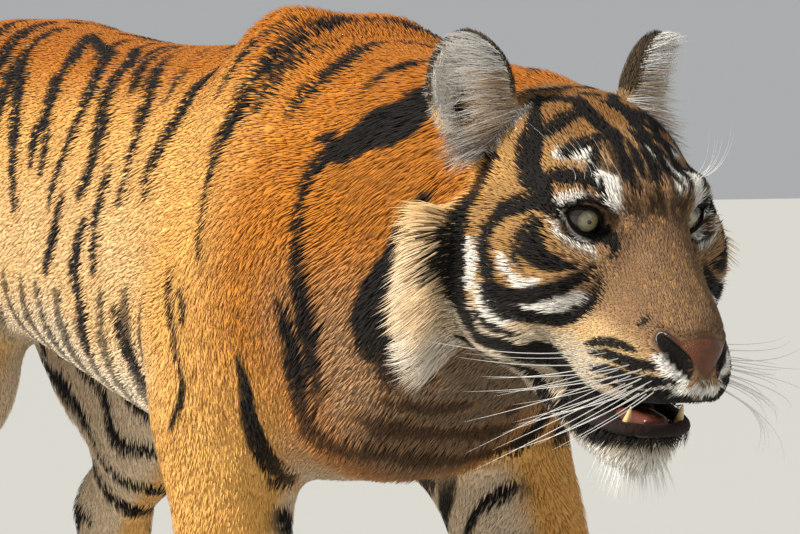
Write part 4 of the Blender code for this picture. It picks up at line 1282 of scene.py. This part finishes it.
def addEye(word, material):
    # rings from the middle of the cornea to the back, finer over the iris, and a point at each end
    steps = np.concatenate([np.linspace(0, eyes["fineTo"], eyes["rings"][0])[1:],
                            np.linspace(eyes["fineTo"], math.pi, eyes["rings"][1])[1:-1]])
    turns = np.linspace(0, 2 * math.pi, eyes["around"], endpoint=False)
    off, turn = np.meshgrid(steps, turns, indexing="ij")
    radius = eyes["radius"] + eyes["bulge"] * ramp(eyes["radius"] * np.sin(off), eyes["iris"] * 1.15, 0)
    local = np.stack([np.sin(off) * np.cos(turn), np.cos(off), np.sin(off) * np.sin(turn)], -1)
    local = local * radius[..., None]
    ends = [(0, eyes["radius"] + eyes["bulge"], 0), (0, -eyes["radius"], 0)]
    local = np.concatenate([local.reshape(-1, 3), ends])
    rows, cols = off.shape
    here = np.arange(cols)
    after = (here + 1) % cols
    corners = []
    for start in range(0, (rows - 1) * cols, cols):
        a, b = start + here, start + after
        corners += [(b + cols, b, a), (a + cols, b + cols, a)]
    last = (rows - 1) * cols
    corners += [(here, after, np.full(cols, rows * cols)),
                (last + after, last + here, np.full(cols, rows * cols + 1))]
    faces = np.concatenate([np.stack(three, 1) for three in corners])
    out = np.hypot(local[:, 0], local[:, 2]) + (local[:, 1] < 0) * 0.05
    angle = np.arctan2(local[:, 2], local[:, 0])
    fibre = 0.5 + 0.25 * np.sin(angle * 31 + 4 * np.sin(angle * 7)) + 0.25 * np.sin(angle * 53 + out * 900)
    colour = tone(eyes["irisInner"]) * (0.78 + 0.44 * fibre)[:, None]
    iris, pupil = eyes["iris"], eyes["pupil"]
    colour = mixed(colour, eyes["irisOuter"], ramp(out, iris * 0.55, iris * 0.95))
    colour = mixed(colour, eyes["white"], ramp(out, iris * 0.99, iris * 1.06))
    colour = mixed(colour, eyes["ring"], ramp(np.abs(out - iris), 1.0 * mm, 0.3 * mm))
    colour = mixed(colour, eyes["ring"], ramp(out, pupil * 1.15, pupil * 0.85))
    points = local @ mirroredAxes(eyes["gaze"], eyes["across"], -1).T + middleOf("eye_" + word)
    eye = meshPiece("eyeball_" + word, points, faces, material, colour)
    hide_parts("eye_" + word)


def addLid(word, side, material):
    centre = middleOf("eye_" + word)
    axes = mirroredAxes(lids["facing"], lids["along"], side)
    shell = [ball((0, 0, 0), [lids["radius"]] * 3), loft(inMm(lids["opening"]), 0.0016, cut=True, square=7)]
    reach = lids["radius"] / mm + 1
    points, quads = fineSurface(shell, (-reach, -2, -reach), (reach, reach, reach), 0.8, centre, axes)
    meshPiece("eyelid_" + word, points, quads, material,
              tigerColour(points, unit(points - centre), partShares(points)))


eyePaint, lidPaint = speckled("eye", **eyeLook), coatMaterial("eyelid", hideLook)
for eyeWord, eyeSide in sides:
    addEye(eyeWord, eyePaint)
    addLid(eyeWord, eyeSide, lidPaint)
print("eyes and lids placed")


# teeth and tongue
enamelLook = dict(roughness=0.22, bumpScale=300.0, bumpDepth=0.0002, mottle=0.10, wet=0.6)
tongueLook = dict(roughness=0.42, bumpScale=1100.0, bumpDepth=0.0007, mottle=0.10, wet=0.4)
teeth = dict(root=(76, 23, -152), tip=(80.5, 24, -121.5), bend=(1.2, 0.8, 0), thick=(5.0, 3.8, 0.7),
             rootColour=(0.62, 0.34, 0.10), tipColour=(0.78, 0.55, 0.26))
tongue = dict(path=[(36, 0, -153, 12), (60, 0, -145, 13), (82, 0, -136, 9)], flat=1.30,
              groove=[(36, 0, -138, 2), (90, 0, -124, 1.6)], low=(20, -24, -165), high=(106, 24, -105),
              middle=(0.13, 0.034, 0.020), edge=(0.08, 0.020, 0.016))


def addMouth():
    enamel, flesh = coatMaterial("tooth enamel", enamelLook), coatMaterial("tongue flesh", tongueLook)
    for word, side in sides:
        root, tip, bend = (np.array(teeth[k]) * (1, side, 1) for k in ("root", "tip", "bend"))
        path = np.column_stack([(root, between(root, tip, 0.5, bend), tip), teeth["thick"]])
        points, quads = fineSurface([limb(path * mm, 1.0, 0.001)], np.minimum(root, tip) - 6,
                                    np.maximum(root, tip) + 4, 0.7)
        up = ramp(inHead(points)[:, 2], -0.141, -0.128)
        piece = meshPiece("fang_" + word, points, quads, enamel,
                          mixed(teeth["rootColour"], teeth["tipColour"], up))
        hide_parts("canine_" + word)
    forms = [limb(inMm(tongue["path"]), tongue["flat"], 0.004),
             limb(inMm(tongue["groove"]), 1.0, 0.010, cut=True)]
    points, quads = fineSurface(forms, tongue["low"], tongue["high"], 1.2)
    aside = ramp(np.abs(inHead(points)[:, 1]), 0.010, 0.019)
    piece = meshPiece("tongue_pad", points, quads, flesh,
                      mixed(tongue["middle"], tongue["edge"], aside))
    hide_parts("tongue")


addMouth()
print("mouth placed")


# claws, drawn in so that little but the tips shows
clawLook = dict(roughness=0.30, bumpScale=500.0, bumpDepth=0.0002, mottle=0.10, wet=0.3)
claws = dict(sunk=0.62, lift=0.36, flat=0.60, horn=(0.42, 0.34, 0.25), root=(0.12, 0.085, 0.060),
             path=[(0, 0, 0, 2.0), (5, 0, -0.8, 2.3), (9.5, 0, -4.0, 1.7), (12.5, 0, -9.0, 0.6)],
             low=(-3, -3, -12), high=(15, 3, 4))


def addClaws():
    horn = coatMaterial("claw horn", clawLook)
    form = limb(inMm(claws["path"]), claws["flat"], 0.001, steps=4)
    for word, legs, scale in (("fore", foreLegs, 1.0), ("hind", hindLegs, hindPaw)):
        for hand, side in sides:
            points, quads, total = [], [], 0
            for lean in (-1, 1):
                for out, ahead, radius in toes:
                    x, y = toePlace(legs[side]["paw"], lean, out, ahead, scale)
                    thick = toeRadius(radius, scale)
                    at = stand + (x + thick * claws["sunk"], y, toeHeight + thick * claws["lift"])
                    found, faces = fineSurface([form], claws["low"], claws["high"], 0.7, at, np.eye(3))
                    points.append(found)
                    quads.append(faces + total)
                    total += len(found)
            points = np.concatenate(points)
            meshPiece("claws_%s_%s" % (word, hand), points, np.concatenate(quads), horn,
                      mixed(claws["root"], claws["horn"], ramp(tiger.field(points), 0, 6 * mm)))


addClaws()
print("claws placed")


# the coat: tapered tufts over the skin
def halved(quads):
    # two triangles for each quad, of corners or of what the corners carry
    return np.concatenate([quads[:, [0, 1, 2]], quads[:, [0, 2, 3]]])


def rootsOn(quads, spacing):
    # evenly spread roots over these skin faces: points, normals, shares and places on the faces' own unwrap
    triangles, places = halved(quads), halved(unwrapped(quads))
    a, b, c = (skinPoints[triangles[:, k]] for k in range(3))
    area = np.linalg.norm(np.cross(b - a, c - a), axis=1) / 2
    total = np.cumsum(area * (1 / spacing**2))
    count = int(total[-1])
    at = (np.arange(count) + dice.random(count)) * (total[-1] / count)
    index = np.searchsorted(total, at).clip(0, len(triangles) - 1)
    u, v = dice.random(count), dice.random(count)
    flip = u + v > 1
    u[flip], v[flip] = 1 - u[flip], 1 - v[flip]
    corners = triangles[index]
    p, normal, shares, uv = (np.einsum("nk,nkd->nd", np.stack([1 - u - v, u, v], 1), values) for values in
                             (skinPoints[corners], skinNormals[corners], skinShares[corners], places[index]))
    return p, unit(normal), shares, uv


# how far the hair runs away from the nose, then ahead, outwards and up
headLies = dict(fromNose=(1, 0, 0, 0), cheek=(1, -0.25, 0.25, -0.40), ruff=(0, -0.55, 0.55, -0.80),
                jaw=(0, -0.35, 0.10, -0.95))
noseTip = (0.135, 0, -0.060)


def lieOf(part, p, q):
    lie = coats[part]["lie"]
    if isinstance(lie, tuple):
        return np.tile(unit(np.array(lie, float)), (len(p), 1))
    if lie == "tail":
        return alongPath(p - stand, tailPath)[1]
    if lie == "ear":
        return np.where((q[:, 1] > 0)[:, None], earAxes(1)[:, 2], earAxes(-1)[:, 2])
    away, x, y, z = headLies[lie]
    own = np.stack([np.full(len(q), x), y * np.sign(q[:, 1]), np.full(len(q), z)], 1)
    return unit(unit(q - noseTip) * away + own) @ headAxes.T


def blended(shares, what):
    return shares @ np.array([coats[part][what] for part in parts], float)


def bareAt(p, q):
    # true where no hair grows: eyes, nose, mouth, soles
    bare = p[:, 2] < 5 * mm
    for word, _ in sides:
        bare |= np.linalg.norm(p - middleOf("eye_" + word), axis=1) < 19.8 * mm
    bare |= (mouthDistance(q) < 2.5 * mm) & (q[:, 0] > 0.035)
    bare |= noseField.field(p) < 1.0 * mm
    return bare | (nostrilDistance(q) < 1.2 * mm)


# the parts each piece covers, and cuts between pieces of one part: axis, place in the plan, side kept
coatPieces = {
    "coat_muzzle": (("bridge", "muzzle"), []),
    "coat_crown": (("skull",), []),
    "coat_cheeks": (("cheek",), []),
    "coat_ruff": (("ruff", "jaw"), []),
    "coat_ears": (("ear",), []),
    "coat_neck_right": (("neck", "breast"), [(1, 0, -1)]),
    "coat_neck_left": (("neck", "breast"), [(1, 0, 1)]),
    "coat_shoulder_right": (("back",), [(1, 0, -1), (0, 0.10, 1)]),
    "coat_shoulder_left": (("back",), [(1, 0, 1), (0, 0.10, 1)]),
    "coat_flank_right": (("back",), [(1, 0, -1), (0, 0.10, -1)]),
    "coat_flank_left": (("back",), [(1, 0, 1), (0, 0.10, -1)]),
    "coat_forelegs": (("foreleg",), []),
    "coat_thighs": (("thigh",), []),
    "coat_shanks": (("shank", "paw"), []),
    "coat_tail": (("tail",), []),
}
coatLook = dict(roughness=0.68, bumpScale=900.0, bumpDepth=0.0002, mottle=0.06, sheen=0.03, shine=0.09)
tuftTaper = dict(rootShade=0.92, bodyShade=0.99, tipShade=1.04, sunk=0.8 * mm, low=-0.08, high=0.14,
                 patch=0.003)
tuftSpread = dict(wide=0.30, narrow=0.12, own=0.045, dim=0.94, bright=1.06, quick=1.8)


def bakeLayer(piece, faces, uv, spot):
    # each tuft or hair is a small patch round its root's place on the unwrap
    patch = (uv[:, None, :] + spot * tuftTaper["patch"]).reshape(-1, 2)
    layer = piece.data.uv_layers.new(name="OFBake")
    layer.data.foreach_set("uv", np.clip(patch[faces.ravel()], 0, 1).astype(np.float32).ravel())


def tuftMesh(name, root, normal, along, across, length, height, wide, rings, colour, uv, material):
    # a spindle: a point sunk in the skin, rings of three, and a tip
    count, per = len(root), 2 + 3 * rings
    points, shade, spot = (np.empty((count, per, *more)) for more in ((3,), (), (2,)))
    body, tip = tuftTaper["bodyShade"], tuftTaper["tipShade"]
    points[:, 0] = root - normal * tuftTaper["sunk"]
    shade[:, 0] = tuftTaper["rootShade"]
    spot[:, 0] = (0, -0.5)
    flatReach = np.sqrt(np.maximum(length**2 - height**2, (0.3 * length) ** 2))
    for ring in range(rings):
        t = (ring + 0.8) / (rings + 0.8)
        rise = height * (1 - (1 - t) ** 1.8)
        middle = root + along * (flatReach * t)[:, None] + normal * rise[:, None]
        half = wide * (0.62 - 0.30 * ring / rings) * 0.8
        for k, up in enumerate((tuftTaper["low"], tuftTaper["high"], tuftTaper["low"])):
            corner, sideways = 1 + ring * 3 + k, k - 1
            points[:, corner] = middle + across * (half * sideways)[:, None] + normal * (half * up)[:, None]
            shade[:, corner] = body + (tip - body) * t * 0.6
            spot[:, corner] = (0.35 * sideways, t - 0.5)
    points[:, -1] = root + along * flatReach[:, None] + normal * height[:, None]
    shade[:, -1] = tip
    spot[:, -1] = (0, 0.5)
    points[:, :, 2] = np.maximum(points[:, :, 2], 0.8 * mm)
    faces = []
    for k in range(3):
        n = (k + 1) % 3
        faces.append((0, 1 + n, 1 + k))
        for ring in range(rings - 1):
            a, b = 1 + ring * 3, 4 + ring * 3
            faces += [(a + k, a + n, b + n), (a + k, b + n, b + k)]
        last = 1 + (rings - 1) * 3
        faces.append((last + k, last + n, per - 1))
    faces = (np.array(faces)[None] + (np.arange(count) * per)[:, None, None]).reshape(-1, 3)
    piece = meshPiece(name, points.reshape(-1, 3), faces, material,
                      (colour[:, None, :] * shade[:, :, None]).reshape(-1, 3))
    bakeLayer(piece, faces, uv, spot)
    return piece


def unwrapped(quads):
    # corner places of these skin faces on an unwrap of their own
    used, index = np.unique(quads, return_inverse=True)
    mesh = bpy.data.meshes.new("pattern")
    mesh.from_pydata(skinPoints[used].tolist(), [], index.reshape(-1, 4).tolist())
    pattern = inScene("pattern", mesh)
    bpy.context.view_layer.objects.active = pattern
    pattern.select_set(True)
    bpy.ops.object.mode_set(mode="EDIT")
    bpy.ops.mesh.select_all(action="SELECT")
    bpy.ops.uv.smart_project(angle_limit=math.radians(66), island_margin=0.002)
    bpy.ops.object.mode_set(mode="OBJECT")
    places = np.empty(len(mesh.loops) * 2, np.float32)
    mesh.uv_layers.active.data.foreach_get("uv", places)
    bpy.data.objects.remove(pattern)
    bpy.data.meshes.remove(mesh)
    return places.reshape(-1, 4, 2)


def growCoat(name, owners, cuts, material):
    strongest = skinShares[skinQuads].sum(1).argmax(1)
    mine = np.isin(strongest, [parts.index(part) for part in owners])
    middles = skinPoints[skinQuads].mean(1) - stand
    for axis, place, kept in cuts:
        mine &= (middles[:, axis] >= place) == (kept > 0)
    quads = skinQuads[mine]
    spacing = blended(skinShares[halved(quads)].mean(1), "spacing") * mm
    p, normal, shares, uv = rootsOn(quads, spacing)
    q = inHead(p)
    keep = ~bareAt(p, q)
    p, normal, shares, uv, q = (values[keep] for values in (p, normal, shares, uv, q))
    along = np.zeros_like(p)
    for k, part in enumerate(parts):
        on = shares[:, k] > 0.02
        if on.any():
            along[on] += lieOf(part, p[on], q[on]) * shares[on, k:k + 1]
    # short, and turned away from the eyes, beside them
    short = np.ones(len(p))
    for word, _ in sides:
        away = p - middleOf("eye_" + word)
        far = np.linalg.norm(away, axis=1)
        along += unit(away) * (1.6 * ramp(far, 36 * mm, 21 * mm))[:, None]
        short = np.minimum(short, 0.55 + 0.45 * ramp(far, 26 * mm, 48 * mm))
    along = unit(along - normal * (along * normal).sum(1, keepdims=True))
    across = np.cross(normal, along)
    swirl = (noise(p, 40 * mm, 41) - 0.5) * tuftSpread["wide"]
    swirl += (noise(p, 10 * mm, 43) - 0.5) * tuftSpread["narrow"]
    swirl += dice.normal(0, tuftSpread["own"], len(p))
    cos, sin = np.cos(swirl)[:, None], np.sin(swirl)[:, None]
    along, across = along * cos + across * sin, across * cos - along * sin
    clump = 0.75 + 0.5 * noise(p, 14 * mm, 47)
    length = blended(shares, "length") * mm * clump * short * dice.uniform(0.75, 1.2, len(p))
    height = blended(shares, "inset") * blended(shares, "rise") * mm * clump * dice.uniform(0.6, 1.15, len(p))
    wide = blended(shares, "width") * mm * dice.uniform(0.75, 1.25, len(p))
    bright = dice.uniform(tuftSpread["dim"], tuftSpread["bright"], len(p))
    colour = tigerColour(p, normal, shares) * bright[:, None]
    rings = coats[owners[0]]["rings"]
    piece = tuftMesh(name, p, normal, along, across, length, height, wide, rings, colour, uv, material)
    print(name, len(p), "tufts", len(piece.data.polygons), "triangles")


coatPaint = coatMaterial("coat", coatLook)
for coatName, (coatOwners, coatCuts) in coatPieces.items():
    growCoat(coatName, coatOwners, coatCuts, coatPaint)


# single long hairs: whiskers, chin, brows and ears
def singleHairs(name, starts, leaving, ends, radius, colour, material, steps, uv=None):
    # each hair leaves its root along one direction and bends to its tip
    count = len(starts)
    reach = np.linalg.norm(ends - starts, axis=1, keepdims=True)
    middle = starts + unit(leaving) * reach * 0.5
    t = np.linspace(0, 1, steps)[None, :, None]
    path = starts[:, None] * (1 - t) ** 2 + 2 * middle[:, None] * t * (1 - t) + ends[:, None] * t**2
    ahead = unit(np.gradient(path, axis=1))
    sideways = unit(np.cross(ahead, np.array((0.31, 0.17, 0.93))))
    upwards = np.cross(ahead, sideways)
    thick = (radius[:, None] * (1 - np.linspace(0, 1, steps)) ** 0.75)[:, :, None]
    points = np.stack([path + (sideways * math.cos(a) + upwards * math.sin(a)) * thick
                       for a in (0, 2.094, 4.189)], 2)
    points[:, -1] = path[:, -1][:, None] + (points[:, -2] - path[:, -2][:, None]) * 0.15
    faces = []
    for step in range(steps - 1):
        for k in range(3):
            a, b = step * 3 + k, step * 3 + (k + 1) % 3
            faces.append((a, b, b + 3, a + 3))
    faces = (np.array(faces)[None] + (np.arange(count) * steps * 3)[:, None, None]).reshape(-1, 4)
    piece = meshPiece(name, points.reshape(-1, 3), faces, material,
                      np.repeat(colour, steps * 3, axis=0))
    if uv is not None:
        spot = np.meshgrid(np.linspace(-0.5, 0.5, steps), (-0.35, 0.0, 0.35), indexing="ij")
        bakeLayer(piece, faces, uv, np.stack(spot, -1).reshape(-1, 2))


hairLook = dict(roughness=0.35, bumpScale=900.0, bumpDepth=0.0001, mottle=0.05)
earHairLook = dict(roughness=0.45, bumpScale=900.0, bumpDepth=0.0001, mottle=0.05, sheen=0.8)
hairColour = (0.90, 0.88, 0.84)
whiskers = dict(rows=4, inRow=6, thick=0.62 * mm, past=12 * mm,
                roots=((56, 55, -80), (118, 40, -74), (88, 49, -106), (122, 36, -92)),
                tips=((0, 182, -96), (60, 172, -132), (48, 158, -188), (86, 120, -178)))
chin = dict(count=190, length=30.0, thick=0.34 * mm)
brows = dict(count=7, thick=0.26 * mm, first=(8, 34, 38), step=(-3, 4, -1.5), reach=(-10, 16), spread=(-3, 4))


def headHairs(name, hairs, thick, material, steps):
    # root, direction and tip of each hair in the head's frame; none reaches far past the solids' sides
    starts, leaving, ends = (np.array(column) for column in zip(*hairs))
    starts = tiger.settle(fromHead(starts * mm), 6)
    ends = fromHead(ends * mm)
    most = max(abs(cadBox[0][1]), cadBox[1][1]) + whiskers["past"]
    over = np.maximum(np.abs(ends[:, 1]) / most, 1)
    ends[:, 1] = np.sign(ends[:, 1]) * np.minimum(np.abs(ends[:, 1]), most)
    ends[:, 0] -= (over - 1) * 0.05
    thick = thick * dice.uniform(0.7, 1.1, len(starts))
    singleHairs(name, starts, leaving @ headAxes.T, ends, thick, np.tile(hairColour, (len(starts), 1)),
                material, steps)


def onPatch(corners, u, v):
    a, b, c, d = (np.array(corner, float) for corner in corners)
    return (a * (1 - u) + b * u) * (1 - v) + (c * (1 - u) + d * u) * v


def addWhiskers(material):
    # roots fill a four-cornered patch on the lip; tips fan outwards, back and down
    hairs = []
    for side in (-1, 1):
        for row in range(whiskers["rows"]):
            for k in range(whiskers["inRow"]):
                u = (k + dice.uniform(-0.2, 0.2)) / (whiskers["inRow"] - 1)
                v = (row + dice.uniform(-0.15, 0.15)) / (whiskers["rows"] - 1)
                u, v = min(max(u, 0), 1), min(max(v, 0), 1)
                root = onPatch(whiskers["roots"], u, v)
                tip = onPatch(whiskers["tips"], u, v) + dice.normal(0, 7, 3)
                tip = root + (tip - root) * dice.uniform(0.68, 1.06) * (1 - 0.25 * u)
                way = (0.15 + 0.25 * u, side, -0.05 - 0.35 * v)
                hairs.append((root * (1, side, 1), way, tip * (1, side, 1)))
    headHairs("whiskers", hairs, whiskers["thick"], material, 14)


def addChinHairs(material):
    count = chin["count"]
    side, ahead = dice.uniform(-1, 1, count), dice.uniform(0, 1, count)
    roots = np.stack([52 + 34 * ahead, 30 * side * (1 - 0.25 * ahead), -172 - 6 * (1 - side**2)], 1)
    starts = tiger.settle(fromHead(roots * mm), 8, 6 * mm)
    way = np.stack([0.25 + 0.5 * ahead, 0.45 * side, np.full(count, -1.0)], 1)
    way += dice.normal(0, 0.12, (count, 3))
    long = chin["length"] * mm * dice.uniform(0.5, 1.15, count)[:, None]
    ends = starts + (unit(way) + np.array((-0.125, 0, -0.05))) * long @ headAxes.T
    colour = np.tile(hairColour, (count, 1)) * dice.uniform(0.8, 1.0, count)[:, None]
    singleHairs("chin_hairs", starts, way @ headAxes.T, ends, chin["thick"] * dice.uniform(0.7, 1.1, count),
                colour, material, 8)


def addBrowHairs(material):
    hairs = []
    (x, y), (dx, dy) = brows["reach"], brows["spread"]
    for side in (-1, 1):
        for k in range(brows["count"]):
            root = np.array(brows["first"]) + np.array(brows["step"]) * k + dice.normal(0, 2, 3)
            tip = root + (x + dx * k, y + dy * k, 30 + dice.uniform(-6, 10))
            hairs.append((root * (1, side, 1), (0.7, 0.4 * side, 0.7), tip * (1, side, 1)))
    headHairs("brow_hairs", hairs, brows["thick"], material, 8)


earHair = dict(spacing=1.60 * mm, shadedHollow=14 * mm, length=46, shortest=8 * mm, thick=0.50 * mm, out=0.72,
               across=0.85, low=-0.10, high=0.55, tip=(34, 52, 45),
               # dark is the tone of hairs low in the cup, partly painted shade of the hollow
               pale=(0.97, 0.93, 0.87), warm=(0.52, 0.33, 0.16), dark=(0.20, 0.15, 0.12))


def addEarHair(material):
    # long pale hair fills the cup, fanning outwards from its lower front edge and spilling over the far one
    quads = skinQuads[skinShares[skinQuads].mean(1)[:, parts.index("ear")] > 0.35]
    p, normal, _, uv = rootsOn(quads, earHair["spacing"])
    hairs = []
    for side in (-1, 1):
        axes = earAxes(side)
        local = (p - earRoot(side)) @ axes
        near = np.sign((p - headAt) @ headAxes[:, 1]) == side
        inner = near & (local[:, 0] > -4 * mm) & ((normal @ axes)[:, 0] > 0.20)
        middle = side * local[:, 1]
        # thick along the edge nearest the crown and low in the cup
        chance = ramp(middle, 0.020, -0.016) * 0.75 + ramp(local[:, 2], 0.030, 0.004) * 0.35 + 0.20
        inner &= dice.random(len(p)) < chance
        inner &= np.hypot(local[:, 1], local[:, 2] - earMarks["shadedHollow"][0] * mm) > earHair["shadedHollow"]
        l, m = local[inner], middle[inner]
        high = np.clip(l[:, 2] / 0.075, 0, 1)
        long = earHair["length"] * mm * dice.uniform(0.5, 1.1, len(l)) * (1.05 - 0.55 * high)
        long = np.maximum(long * ramp(m, 0.040, -0.010), earHair["shortest"])
        out = earHair["out"] + dice.normal(0, 0.12, len(l))
        across = earHair["across"] * (0.55 + 0.6 * ramp(m, 0.01, -0.02)) + dice.normal(0, 0.12, len(l))
        up = earHair["low"] + (earHair["high"] - earHair["low"]) * high + dice.normal(0, 0.14, len(l))
        way = np.stack([out + 0.5, side * across * 0.5, up + 0.2], 1)
        end = l + unit(np.stack([out, side * across, up], 1)) * long[:, None]
        # nothing rises past the ear's own tip
        middleUp, high, wide = np.array(earHair["tip"]) * mm
        top = middleUp + high * np.sqrt(np.clip(1 - (end[:, 1] / wide) ** 2, 0.05, 1))
        end[:, 2] = np.minimum(end[:, 2], top)
        pick = dice.random((len(l), 1))
        warm = (ramp(m, -0.012, -0.026) * ramp(l[:, 2], 0.060, 0.040) * 0.6)[:, None]
        # darker hairs low in the cup are painted shade of the hollow; a few dark hairs lie everywhere
        low = (ramp(l[:, 2], 0.016, 0.000) * 0.5 + 0.05)[:, None]
        colour = np.where(pick > 1 - warm, earHair["warm"], earHair["pale"])
        colour = np.where(pick < low, earHair["dark"], colour)
        colour = colour * dice.uniform(0.80, 1.05, (len(l), 1))
        hairs.append((p[inner], way @ axes.T, end @ axes.T + earRoot(side), colour, uv[inner]))
    starts, leaving, ends, colour, uv = (np.concatenate(column) for column in zip(*hairs))
    thick = earHair["thick"] * dice.uniform(0.6, 1.1, len(starts))
    singleHairs("ear_hair", starts, leaving, ends, thick, colour, material, 6, uv)
    print("ear hair", len(starts))


hairPaint = coatMaterial("long hair", hairLook)
addWhiskers(hairPaint)
addChinHairs(hairPaint)
addBrowHairs(hairPaint)
addEarHair(coatMaterial("ear hair", earHairLook))
print("long hairs placed")
